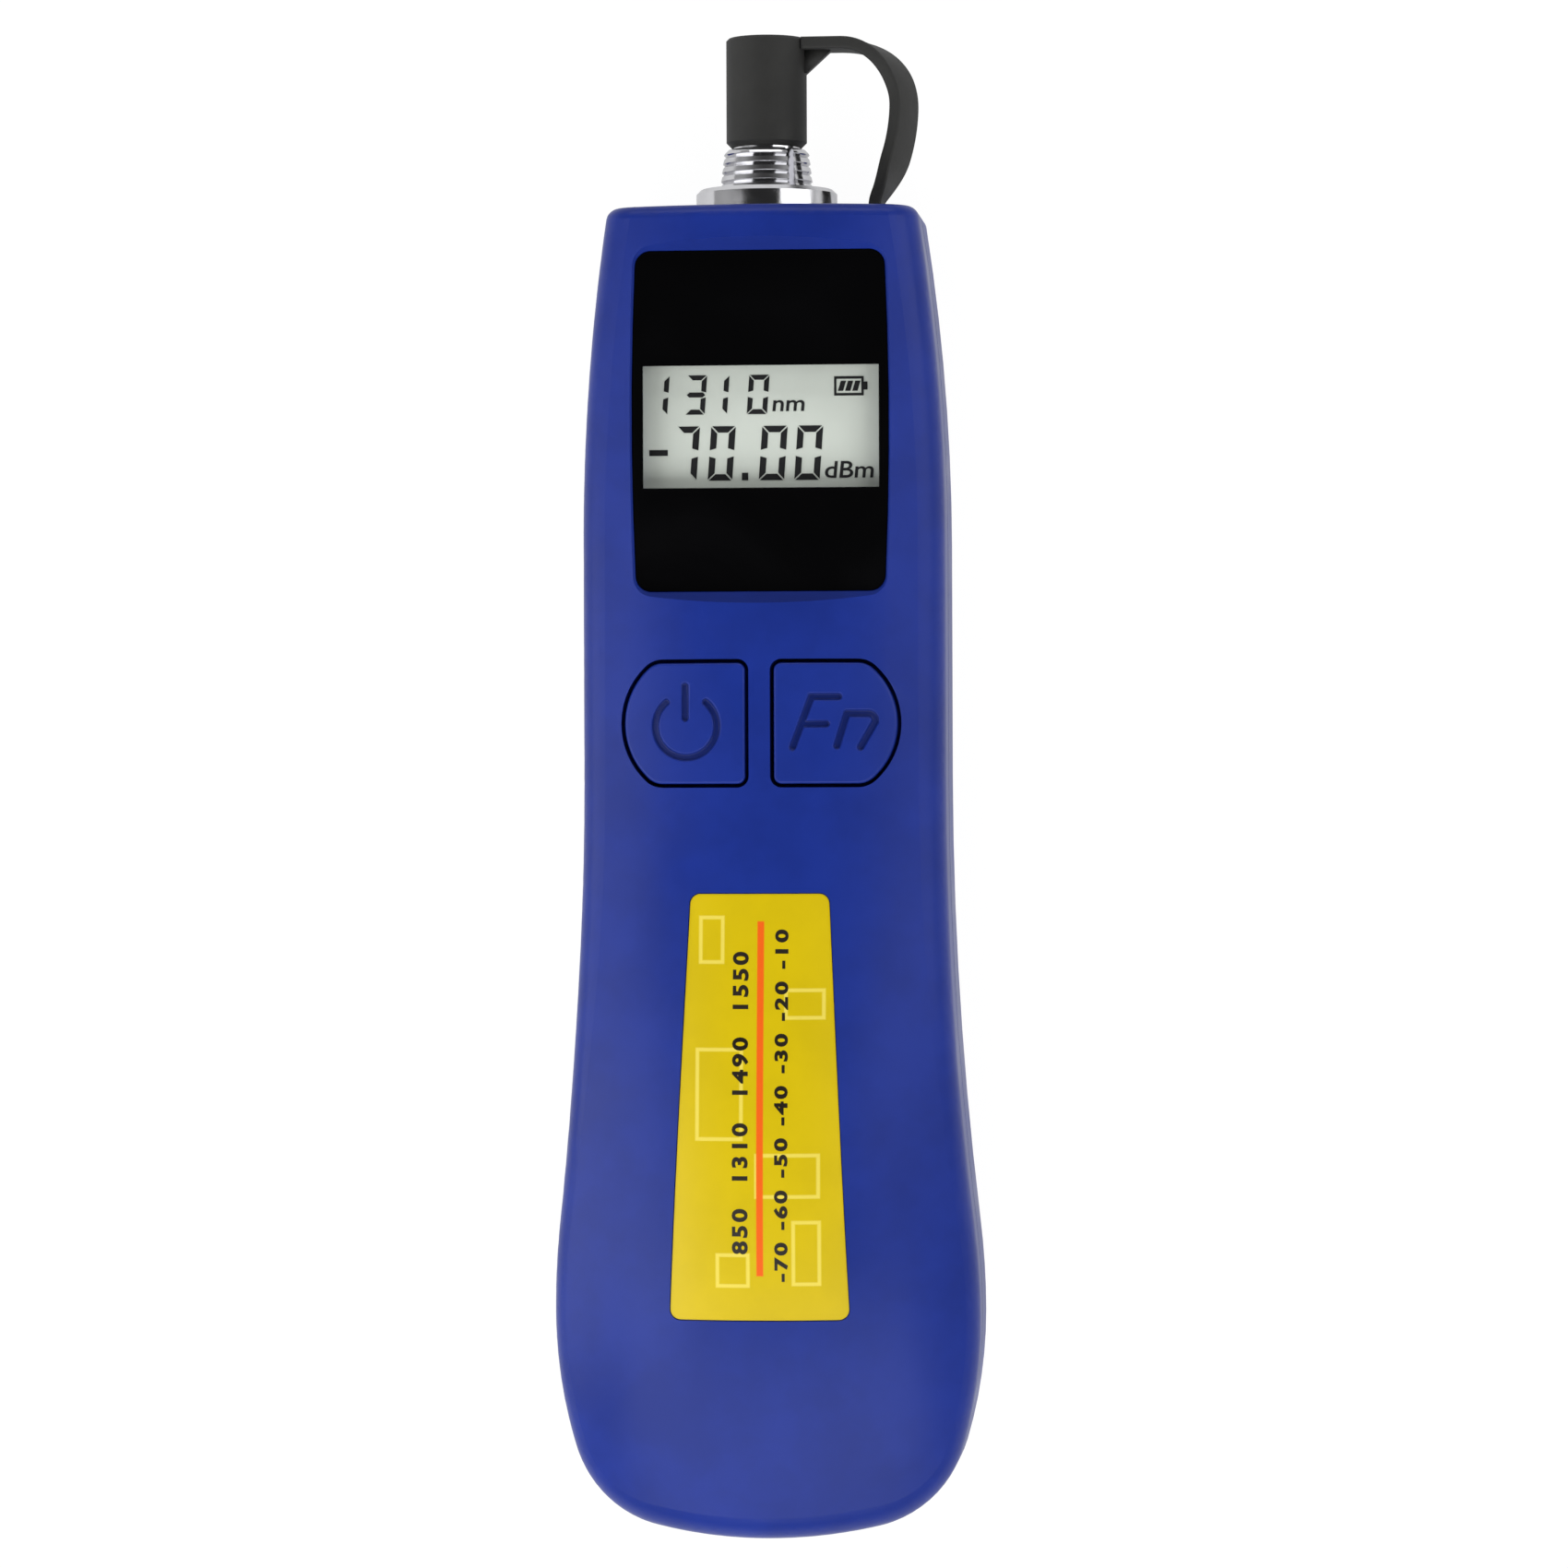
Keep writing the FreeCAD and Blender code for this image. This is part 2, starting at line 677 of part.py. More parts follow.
def leaded_chip(x, y, width, length, legs):
    """Moulded chip with a row of legs down both long sides."""
    pieces = [block(x, y, width, length, board_top_z + assembly_gap, board_top_z + chip_height)]
    pitch = length / legs
    reach = width + 2 * chip_leg
    for i in range(legs):
        leg_y = y - length / 2 + pitch * (i + 0.5)
        pieces.append(block(x, leg_y, reach, pitch / 2, board_top_z,
                            board_top_z + chip_leg_thickness))
    return fuse(pieces)


def display_glass():
    return block(0, display_y, display_glass_width, display_glass_length,
                 display_top_z - display_glass_thickness, display_top_z)


def display_holder():
    """Frame round the glass, the backlight and the contact strips."""
    width = display_glass_width + 2 * assembly_gap
    length = display_glass_length + 2 * assembly_gap
    top = display_top_z - display_proud
    frame = block(0, display_y, width + 2 * holder_wall, length + 2 * holder_wall, board_top_z, top)
    return frame.cut(block(0, display_y, width, length, board_top_z - 1, top + 1))


def backlight_panel():
    length = display_glass_length - 2 * strip_width - 2 * assembly_gap
    return block(0, display_y, backlight_width, length, board_top_z,
                 display_top_z - display_glass_thickness)


def contact_strips():
    offset = (display_glass_length - strip_width) / 2
    return Part.makeCompound([
        block(0, display_y + side * offset, backlight_width, strip_width, board_top_z,
              display_top_z - display_glass_thickness) for side in (-1, 1)])


# ---------------------------------------------------------------- screws
def screw(x, y, z, diameter, length, head, head_height, up):
    """Pan head and plain shank with a pointed tip; z is the head's seat and up its shank's way."""
    tip = diameter / 2
    points = [(0, -head_height), (head / 2 - screw_head_edge, -head_height),
              (head / 2, screw_head_edge - head_height), (head / 2, 0), (diameter / 2, 0),
              (diameter / 2, length - tip), (0, length)]
    face = Part.Face(Part.makePolygon([Vector(r, 0, up * h) for r, h in points + points[:1]]))
    solid = face.revolve(Vector(0, 0, 0), Z_AXIS, 360)
    reach = screw_cross_share * head
    cross = fuse([block(0, 0, a, b, -screw_cross_depth, screw_cross_depth)
                  for a, b in ((reach, screw_cross_width), (screw_cross_width, reach))])
    cross.translate(Vector(0, 0, -up * head_height))
    solid = solid.cut(cross)
    solid.translate(Vector(x, y, z))
    return solid


def case_screws():
    return Part.makeCompound([
        screw(x, y, case_screw_depth, case_screw_diameter, case_screw_length, case_screw_head,
              case_screw_head_height, 1) for x, y in case_screw_places()])


def board_screws():
    return Part.makeCompound([
        screw(x, y, board_top_z, board_screw_diameter, board_screw_length, board_screw_head,
              board_screw_head_height, -1) for x, y in board_screw_places()])


# ---------------------------------------------------------------- battery
def battery_door(outer):
    """Sliding door: a panel with wider tongues above it, ending in the palm end's curve."""
    half = door_width / 2
    panel = box(-half, half, -wall, door_end_y, 0, door_inner_z)
    tongues = box(-half - door_tongue, half + door_tongue, -wall, door_end_y,
                  door_tongue_z, door_inner_z)
    door = panel.fuse(tongues).common(outer).removeSplitter()
    grooves = []
    for i in range(door_groove_count):
        y = bay_end_y - i * door_groove_pitch
        grooves.append(block(0, y, door_groove_length, door_groove_width, -1,
                             door_face_recess + door_groove_depth))
    return door.cut(fuse(grooves))


def cell(side):
    """Dry cell; the right one points to the port end and the left one to the palm end."""
    start = bay_y + contact_space
    can = bar(0, 0, cell_diameter, 0, cell_length - cell_nub_length)
    nub = bar(0, 0, cell_nub_diameter, cell_length - cell_nub_length, cell_length)
    body = can.fuse(nub)
    if side < 0:
        body.rotate(Vector(0, cell_length / 2, 0), Z_AXIS, 180)
    body.translate(Vector(side * cell_x, start, cell_z))
    return body


def leaf(x, wall_y, inwards):
    """Bowed leaf that reaches from the contact plate to the flat end of a cell."""
    reach = contact_space - contact_sheet
    half = contact_width / 2 - contact_leaf_margin
    y0 = wall_y + inwards * contact_sheet

    def bow(rise, z_half):
        return Part.Arc(Vector(x, y0, cell_z - z_half), Vector(x, y0 + inwards * rise, cell_z),
                        Vector(x, y0, cell_z + z_half)).toShape()

    def cap(rise, z_half):
        chord = Part.LineSegment(Vector(x, y0, cell_z + z_half),
                                 Vector(x, y0, cell_z - z_half)).toShape()
        face = Part.Face(Part.Wire([bow(rise, z_half), chord]))
        face.translate(Vector(-contact_leaf_width / 2, 0, 0))
        return face.extrude(Vector(contact_leaf_width, 0, 0))

    return cap(reach, half).cut(cap(reach - contact_sheet, half - 2 * contact_sheet))


def plate(x0, x1, wall_y, inwards):
    y1 = wall_y + inwards * contact_sheet
    return box(x0, x1, min(wall_y, y1), max(wall_y, y1),
               cell_z - contact_width / 2, cell_z + contact_width / 2)


def button(x, wall_y, inwards):
    """Raised button that meets a cell's nub."""
    start = wall_y + inwards * contact_sheet
    end = wall_y + inwards * contact_space
    return bar(x, cell_z, cell_nub_diameter, min(start, end), max(start, end))


def bridge_contact():
    """Joins the two cells at the palm end: button for the left one, leaf for the right one."""
    return fuse([plate(-cell_x - contact_width / 2, cell_x + contact_width / 2, bay_y, 1),
                 button(-cell_x, bay_y, 1), leaf(cell_x, bay_y, 1)])


def board_contact(side):
    """Plate at the bay's far end, with a tab that runs under the board."""
    x = side * cell_x
    half = contact_width / 2
    touch = button(x, bay_end_y, -1) if side > 0 else leaf(x, bay_end_y, -1)
    tab_z = board_z - contact_sheet
    riser = block(x, bay_end_y - contact_sheet / 2, contact_tab_width, contact_sheet,
                  cell_z, board_z)
    tab = box(x - contact_tab_width / 2, x + contact_tab_width / 2,
              bay_end_y - contact_sheet, board_y + contact_tab_on_board, tab_z, board_z)
    return fuse([plate(x - half, x + half, bay_end_y, -1), touch, riser, tab])


# ---------------------------------------------------------------- fibre port
def connector_body():
    """Flange, ridged hub and keyed barrel outside the wall, threaded tail inside it."""
    face_y = body_length
    hub_y = face_y + flange_thickness
    flange, tail = flange_diameter / 2, tail_diameter / 2
    hub_low, hub_top = hub_bottom_diameter / 2, hub_top_diameter / 2
    profile = [(tail, face_y - tail_length), (tail, face_y), (flange, face_y),
               (flange, hub_y - flange_edge), (flange - flange_edge, hub_y), (hub_low, hub_y)]
    for i in range(hub_ridge_count):
        y = hub_y + (i + 0.75) * hub_ridge_pitch
        radius = hub_low + (hub_top - hub_low) * (y - hub_y) / hub_length
        profile += [(radius, y - hub_ridge_pitch / 4), (radius - hub_ridge_depth, y),
                    (radius, y + hub_ridge_pitch / 4)]
    barrel, bore = barrel_diameter / 2, barrel_bore / 2
    tip_y = barrel_y + barrel_length
    floor_y = barrel_y - barrel_floor
    seat_y = floor_y - sleeve_seat_depth
    stop_y = face_y - tail_length + tail_bore_length
    profile += [(hub_top, barrel_y - port_chamfer), (hub_top - port_chamfer, barrel_y),
                (barrel, barrel_y), (barrel, tip_y - port_chamfer),
                (barrel - port_chamfer, tip_y), (bore, tip_y), (bore, floor_y),
                (sleeve_diameter / 2, floor_y), (sleeve_diameter / 2, seat_y),
                (aperture_diameter / 2, seat_y), (aperture_diameter / 2, stop_y),
                (tail_bore / 2, stop_y), (tail_bore / 2, face_y - tail_length)]
    body = turned(profile)
    keyway = box(bore - 1, barrel + 1, tip_y - key_slot_length, tip_y + 1,
                 port_z - key_slot_width / 2, port_z + key_slot_width / 2)
    notch = box(-hub_slot_width / 2, hub_slot_width / 2, hub_y, barrel_y + 1,
                port_z + hub_top - hub_slot_depth, port_z + hub_low + 1)
    notch.rotate(Vector(0, 0, port_z), Y_AXIS, hub_slot_angle)
    return body.cut(keyway).cut(notch)


def alignment_sleeve():
    """Split sleeve that lines up the fibre's ferrule."""
    start = barrel_y - barrel_floor - sleeve_seat_depth
    outside = sleeve_diameter / 2 - thread_gap
    sleeve = turned([(sleeve_bore / 2, start), (outside, start),
                     (outside, start + sleeve_length), (sleeve_bore / 2, start + sleeve_length)])
    slit = box(-sleeve_slit / 2, sleeve_slit / 2, start - 1, start + sleeve_length + 1,
               port_z, port_z + sleeve_diameter)
    return sleeve.cut(slit)


def washer():
    y1 = body_length - wall
    return turned([(tail_diameter / 2 + thread_gap, y1 - washer_thickness),
                   (washer_diameter / 2, y1 - washer_thickness),
                   (washer_diameter / 2, y1), (tail_diameter / 2 + thread_gap, y1)])


def port_nut():
    y1 = body_length - wall - washer_thickness
    corners = []
    radius = nut_across_flats / math.sqrt(3)
    for i in range(6):
        angle = math.radians(60 * i)
        corners.append(Vector(radius * math.cos(angle), y1 - nut_thickness,
                              port_z + radius * math.sin(angle)))
    prism = Part.Face(Part.makePolygon(corners + corners[:1])).extrude(Vector(0, nut_thickness, 0))
    return prism.cut(bar(0, port_z, tail_diameter + 2 * thread_gap, 0, y1 + 1))


def photodiode():
    """Detector can at the bottom of the tail's bore, with two leads soldered on the board."""
    front_y = body_length - tail_length + tail_bore_length
    back_y = front_y - can_length
    can = bar(0, port_z, can_diameter, back_y, front_y)
    flange = bar(0, port_z, can_flange_diameter, back_y, back_y + can_flange_thickness)
    lead_z = board_top_z + lead_diameter / 2
    leads = [bar(side * lead_spread / 2, lead_z, lead_diameter, holder_end_y + lead_past_holder,
                 back_y + can_flange_thickness / 2) for side in (-1, 1)]
    return fuse([can, flange] + leads)


def detector_retainer():
    """Ring behind the can, with a window for the leads."""
    back_y = body_length - tail_length + tail_bore_length - can_length
    outside = tail_bore / 2 - thread_gap
    return turned([(retainer_opening / 2, back_y - retainer_thickness),
                   (outside, back_y - retainer_thickness), (outside, back_y),
                   (retainer_opening / 2, back_y)])


# ---------------------------------------------------------------- dust cap
def dust_cap():
    radius = cap_diameter / 2
    inside = barrel_diameter / 2 + cap_gap
    end = cap_y + cap_length
    floor = cap_y + cap_length - cap_top_thickness
    return turned([(inside, cap_y), (radius - cap_edge, cap_y), (radius, cap_y + cap_edge),
                   (radius, end - cap_edge / 2), (radius - cap_edge / 2, end), (0, end), (0, floor),
                   (inside, floor)])

def strap_path():
    """Middle line of the strap in plan: arcs that run into each other, from the cap down."""
    start = Vector(cap_diameter / 2 - cap_edge, strap_y, 0)
    bow = Vector(cap_diameter / 2 + strap_run, strap_y, 0)
    centre_y = strap_y - strap_bow_radius
    angle = math.radians(strap_lower_angle)
    lower_x = bow.x + strap_bow_radius - strap_lower_radius
    low_end = Vector(lower_x + strap_lower_radius * math.cos(angle),
                     centre_y - strap_lower_radius * math.sin(angle), 0)
    root_x = low_end.x + strap_root_radius * math.cos(angle) - strap_root_radius
    root_y = low_end.y - strap_root_radius * math.sin(angle)
    return start, bow, centre_y, lower_x, angle, low_end, root_x, root_y


def strap_root_x():
    return strap_path()[6]


def cap_strap():
    """Flat strap bent into a bow: it leaves the cap's top, comes round and enters the housing."""
    start, bow, centre_y, lower_x, angle, low_end, root_x, root_y = strap_path()
    half = strap_thickness / 2

    def side(offset):
        upper = strap_bow_radius + offset
        lower = strap_lower_radius + offset
        root = strap_root_radius - offset
        root_centre = root_x + strap_root_radius
        return [
            Part.LineSegment(Vector(start.x, strap_y + offset, 0),
                             Vector(bow.x, strap_y + offset, 0)).toShape(),
            arc(bow.x, centre_y, upper, math.pi / 2, 0),
            arc(lower_x, centre_y, lower, 0, -angle),
            arc(root_centre, root_y, root, math.pi - angle, math.pi),
            Part.LineSegment(Vector(root_x + offset, root_y, 0),
                             Vector(root_x + offset, body_length - wall, 0)).toShape(),
        ]

    closing = [
        Part.LineSegment(Vector(start.x, strap_y - half, 0),
                         Vector(start.x, strap_y + half, 0)).toShape(),
        Part.LineSegment(Vector(root_x - half, body_length - wall, 0),
                         Vector(root_x + half, body_length - wall, 0)).toShape(),
    ]
    face = Part.Face(Part.Wire(Part.__sortEdges__(side(half) + side(-half) + closing)))
    low_z = port_z - strap_width / 2
    face.translate(Vector(0, 0, low_z))
    strap = face.extrude(Vector(0, 0, strap_width))
    anchor = box(root_x - strap_anchor_width / 2, root_x + strap_anchor_width / 2,
                 body_length - wall - strap_anchor_length, body_length - wall,
                 low_z, low_z + strap_width)
    side_x = cap_diameter / 2 - cap_edge
    under = strap_y - half
    corners = [Vector(side_x, under, port_z), Vector(side_x + gusset_size + cap_edge, under, port_z),
               Vector(side_x, under - gusset_size - cap_edge, port_z)]
    gusset = Part.Face(Part.makePolygon(corners + corners[:1]))
    gusset.translate(Vector(0, 0, -strap_thickness / 2))
    gusset = gusset.extrude(Vector(0, 0, strap_thickness))
    cap_room = bar(0, port_z, cap_diameter, cap_y - 1, cap_y + cap_length + 1)
    return fuse([strap, anchor, gusset]).cut(cap_room)


# ---------------------------------------------------------------- everything, saved node by node
def build():
    outer = skin(0)
    inner = skin(wall)
    key_skin = skin(key_recess)
    return {
        "front_shell": front_shell(outer.copy(), inner.copy()),
        "rear_shell": rear_shell(outer.copy(), inner.copy()),
        "battery_door": battery_door(skin(door_face_recess)),
        "display_window": display_window(),
        "display_glass": display_glass(),
        "display_holder": display_holder(),
        "backlight_panel": backlight_panel(),
        "contact_strips": contact_strips(),
        "front_label": front_label(),
        "power_key": key(-1, key_skin),
        "function_key": key(1, key_skin),
        "power_plunger": key_plunger(-1),
        "function_plunger": key_plunger(1),
        "power_switch": key_switch(-1),
        "function_switch": key_switch(1),
        "main_board": main_board(),
        "processor_chip": leaded_chip(-processor_width / 2, chip_y, processor_width,
                                      processor_width, processor_legs),
        "amplifier_chip": leaded_chip(amplifier_width + chip_leg, chip_y, amplifier_width,
                                      amplifier_length, amplifier_legs),
        "board_screws": board_screws(),
        "case_screws": case_screws(),
        "cell_left": cell(-1),
        "cell_right": cell(1),
        "bridge_contact": bridge_contact(),
        "negative_contact": board_contact(-1),
        "positive_contact": board_contact(1),
        "connector_body": connector_body(),
        "alignment_sleeve": alignment_sleeve(),
        "port_washer": washer(),
        "port_nut": port_nut(),
        "photodiode": photodiode(),
        "detector_retainer": detector_retainer(),
        "dust_cap": dust_cap(),
        "cap_strap": cap_strap(),
    }


os.makedirs("parts", exist_ok=True)
for name, shape in build().items():
    shape.translate(Vector(0, -body_length / 2, 0))
    print(name, "solids", len(shape.Solids), "valid", shape.isValid(), "volume", round(shape.Volume, 1))
    shape.exportStep("parts/" + name + ".step")
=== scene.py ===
"""Dresses the handheld optical power meter: finishes, key faces, live display, label print and strap."""

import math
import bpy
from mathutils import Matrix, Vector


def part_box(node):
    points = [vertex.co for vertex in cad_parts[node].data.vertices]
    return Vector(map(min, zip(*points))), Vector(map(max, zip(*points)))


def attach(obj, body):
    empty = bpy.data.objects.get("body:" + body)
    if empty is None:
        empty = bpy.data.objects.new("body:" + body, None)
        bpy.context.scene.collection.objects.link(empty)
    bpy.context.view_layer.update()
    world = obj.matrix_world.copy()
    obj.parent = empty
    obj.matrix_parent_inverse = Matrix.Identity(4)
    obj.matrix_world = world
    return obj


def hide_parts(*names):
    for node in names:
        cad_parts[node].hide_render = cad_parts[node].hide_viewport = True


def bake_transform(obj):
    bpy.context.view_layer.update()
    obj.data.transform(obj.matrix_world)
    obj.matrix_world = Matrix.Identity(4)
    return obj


bl_info = {
    "name": "Optical Power Meter",
    "version": (1, 0, 0),
    "blender": (4, 5, 0),
    "location": "3D View > Sidebar > Meter",
    "description": "Dresses the solid parts of a handheld optical power meter",
    "category": "Object",
}

import bpy
import numpy as np
from mathutils import Vector

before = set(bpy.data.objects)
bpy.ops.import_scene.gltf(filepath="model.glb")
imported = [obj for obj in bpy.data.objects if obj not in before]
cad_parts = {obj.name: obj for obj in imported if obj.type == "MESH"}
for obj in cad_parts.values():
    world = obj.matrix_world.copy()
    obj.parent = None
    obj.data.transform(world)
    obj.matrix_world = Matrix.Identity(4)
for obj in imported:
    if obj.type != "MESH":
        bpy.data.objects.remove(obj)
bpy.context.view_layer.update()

MM = 0.001


# ---------------- colours and shader nodes

def screen_colour(red, green, blue):
    """Linear colour of the eight-bit values that a screen shows."""
    share = np.array([red, green, blue]) / 255
    linear = np.where(share <= 0.04045, share / 12.92, ((share + 0.055) / 1.055) ** 2.4)
    return tuple(float(value) for value in linear)


def add_node(tree, kind, sockets=None, **settings):
    """Adds a node; sockets maps an input to a value or to another node's output."""
    node = tree.nodes.new(kind)
    for name, value in settings.items():
        setattr(node, name, value)
    for key, value in (sockets or {}).items():
        if isinstance(value, bpy.types.NodeSocket):
            tree.links.new(value, node.inputs[key])
        else:
            node.inputs[key].default_value = value
    return node


def calculate(tree, operation, *values):
    """One Math node's result."""
    return add_node(tree, "ShaderNodeMath", dict(enumerate(values)), operation=operation).outputs[0]


def between(tree, value, low, high, at_low=0.0, at_high=1.0):
    """Smooth step: at_low below low, at_high above high."""
    node = add_node(tree, "ShaderNodeMapRange", {0: value, 1: low, 2: high, 3: at_low, 4: at_high},
                    interpolation_type="SMOOTHSTEP")
    return node.outputs[0]


def mixed(tree, share, first, second):
    """Colour between first and second."""
    node = add_node(tree, "ShaderNodeMix", data_type="RGBA")
    for socket, value in ((node.inputs[0], share), (node.inputs[6], first), (node.inputs[7], second)):
        if isinstance(value, bpy.types.NodeSocket):
            tree.links.new(value, socket)
        else:
            socket.default_value = (*value, 1.0) if isinstance(value, tuple) else value
    return node.outputs[2]


def start_group(name, inputs, outputs):
    """An empty shader node group with named inputs and outputs."""
    group = bpy.data.node_groups.new(name, "ShaderNodeTree")
    for label, kind, value in inputs:
        socket = group.interface.new_socket(label, in_out="INPUT", socket_type=kind)
        if value is not None:
            socket.default_value = value
    for label, kind in outputs:
        group.interface.new_socket(label, in_out="OUTPUT", socket_type=kind)
    return group, group.nodes.new("NodeGroupInput").outputs, group.nodes.new("NodeGroupOutput")


def moulded_grain():
    """Spark-eroded mould texture: fine bumps, and a slow drift of tone from the flow of the plastic."""
    group, given, out = start_group(
        "Moulded Grain",
        [("Place", "NodeSocketVector", None), ("Fineness", "NodeSocketFloat", 4000.0),
         ("Drift", "NodeSocketFloat", 90.0)],
        [("Height", "NodeSocketFloat"), ("Tone", "NodeSocketFloat")])
    fine = add_node(group, "ShaderNodeTexNoise",
                    {"Vector": given["Place"], "Scale": given["Fineness"], "Detail": 3.0})
    slow = add_node(group, "ShaderNodeTexNoise",
                    {"Vector": given["Place"], "Scale": given["Drift"], "Detail": 4.0, "Roughness": 0.6})
    group.links.new(fine.outputs[0], out.inputs["Height"])
    group.links.new(between(group, slow.outputs[0], 0.3, 0.7), out.inputs["Tone"])
    return group


def handling_marks():
    """Rubbed patches and hairline scratches that a tool picks up in the hand."""
    group, given, out = start_group(
        "Handling Marks",
        [("Place", "NodeSocketVector", None), ("Patch Scale", "NodeSocketFloat", 60.0)],
        [("Rub", "NodeSocketFloat"), ("Scratch", "NodeSocketFloat")])
    patch = add_node(group, "ShaderNodeTexNoise",
                     {"Vector": given["Place"], "Scale": given["Patch Scale"], "Detail": 5.0,
                      "Distortion": 0.6})
    turned = add_node(group, "ShaderNodeMapping",
                      {"Vector": given["Place"], "Rotation": (0.2, 0.1, 0.7), "Scale": (900.0, 40.0, 40.0)})
    hair = add_node(group, "ShaderNodeTexNoise", {"Vector": turned.outputs[0], "Scale": 1.0, "Detail": 2.0})
    group.links.new(between(group, patch.outputs[0], 0.45, 0.75), out.inputs["Rub"])
    group.links.new(between(group, hair.outputs[0], 0.68, 0.74), out.inputs["Scratch"])
    return group


def turned_lines():
    """Fine lathe marks round the port's axis: bands that change only along the axis."""
    group, given, out = start_group(
        "Turned Lines",
        [("Place", "NodeSocketVector", None), ("Pitch Scale", "NodeSocketFloat", 9000.0)],
        [("Height", "NodeSocketFloat")])
    along = add_node(group, "ShaderNodeSeparateXYZ", {0: given["Place"]}).outputs[1]
    line = add_node(group, "ShaderNodeTexNoise",
                    {"W": calculate(group, "MULTIPLY", along, given["Pitch Scale"]), "Scale": 1.0,
                     "Detail": 2.0}, noise_dimensions="1D")
    group.links.new(line.outputs[0], out.inputs["Height"])
    return group


def plate_distance():
    """Distance in plan from the edge of a rectangle: negative inside it, positive outside."""
    group, given, out = start_group(
        "Plate Distance",
        [("Place", "NodeSocketVector", None), ("Middle", "NodeSocketVector", (0.0, 0.0, 0.0)),
         ("Half Size", "NodeSocketVector", (0.01, 0.01, 0.0))],
        [("Distance", "NodeSocketFloat")])
    offset = add_node(group, "ShaderNodeVectorMath", {0: given["Place"], 1: given["Middle"]},
                      operation="SUBTRACT").outputs[0]
    size = add_node(group, "ShaderNodeVectorMath", {0: offset}, operation="ABSOLUTE").outputs[0]
    beyond = add_node(group, "ShaderNodeVectorMath", {0: size, 1: given["Half Size"]},
                      operation="SUBTRACT").outputs[0]
    parts = add_node(group, "ShaderNodeSeparateXYZ", {0: beyond}).outputs
    group.links.new(calculate(group, "MAXIMUM", parts[0], parts[1]), out.inputs["Distance"])
    return group


GROUPS = {}


def placed(tree, name, place, **values):
    """A shared group's outputs, with the group put into this material."""
    builders = {"Moulded Grain": moulded_grain, "Handling Marks": handling_marks,
                "Turned Lines": turned_lines, "Plate Distance": plate_distance}
    if name not in GROUPS:
        GROUPS[name] = builders[name]()
    node = tree.nodes.new("ShaderNodeGroup")
    node.node_tree = GROUPS[name]
    tree.links.new(place, node.inputs["Place"])
    for key, value in values.items():
        node.inputs[key.replace("_", " ")].default_value = value
    return node.outputs


def blank_finish(name):
    """A new material with its tree, its shader and its Object coordinates."""
    material = bpy.data.materials.new(name)
    material.use_nodes = True
    tree = material.node_tree
    shader = next(node for node in tree.nodes if node.type == "BSDF_PRINCIPLED")
    place = add_node(tree, "ShaderNodeTexCoord").outputs["Object"]
    return material, tree, shader, place


def roughened(tree, shader, height, strength, distance):
    """Gives the shader a bump from a height."""
    bump = add_node(tree, "ShaderNodeBump",
                    {"Height": height, "Strength": strength, "Distance": distance})
    tree.links.new(bump.outputs[0], shader.inputs["Normal"])


def plastic_finish(name, colour, drift=0.12, roughness=0.4, fineness=4000.0, relief=0.00003,
                   strength=0.25, metallic=0.0, specular=0.5):
    """Moulded plastic, rubber, ceramic or plain metal: grain, a drift of tone and rubbed patches."""
    material, tree, shader, place = blank_finish(name)
    grain = placed(tree, "Moulded Grain", place, Fineness=fineness)
    marks = placed(tree, "Handling Marks", place)
    dark = tuple(value * (1 - drift) for value in colour)
    light = tuple(min(value * (1 + drift), 1.0) for value in colour)
    tree.links.new(mixed(tree, grain["Tone"], dark, light), shader.inputs["Base Color"])
    rough = between(tree, marks["Rub"], 0.0, 1.0, roughness, roughness * 0.82)
    tree.links.new(rough, shader.inputs["Roughness"])
    roughened(tree, shader, grain["Height"], strength, relief)
    shader.inputs["Metallic"].default_value = metallic
    shader.inputs["Specular IOR Level"].default_value = specular
    return material


def turned_finish(name, colour, roughness):
    """Plated or turned metal with lathe marks and finger marks."""
    material, tree, shader, place = blank_finish(name)
    marks = placed(tree, "Handling Marks", place, Patch_Scale=220.0)
    lines = placed(tree, "Turned Lines", place)
    dull = tuple(value * 0.86 for value in colour)
    tree.links.new(mixed(tree, marks["Rub"], colour, dull), shader.inputs["Base Color"])
    rough = between(tree, marks["Rub"], 0.0, 1.0, roughness, roughness + 0.14)
    tree.links.new(rough, shader.inputs["Roughness"])
    roughened(tree, shader, lines["Height"], 0.2, 0.00001)
    shader.inputs["Metallic"].default_value = 1.0
    return material


def wear(material, *nodes):
    """Puts a material on frame nodes or pieces."""
    for item in nodes:
        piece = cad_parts[item] if isinstance(item, str) else item
        piece.data.materials.clear()
        piece.data.materials.append(material)


# ---------------- meshes

def make_piece(name, points, faces, body, material, smooth=True):
    """A mesh piece from points in millimetres, riding on a body where one is named."""
    mesh = bpy.data.meshes.new(name)
    mesh.from_pydata((np.asarray(points, float) * MM).tolist(), [], faces)
    mesh.update()
    mesh.polygons.foreach_set("use_smooth", np.full(len(mesh.polygons), smooth))
    piece = bpy.data.objects.new(name, mesh)
    bpy.context.scene.collection.objects.link(piece)
    piece.data.materials.append(material)
    if body:
        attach(piece, body)
    return piece


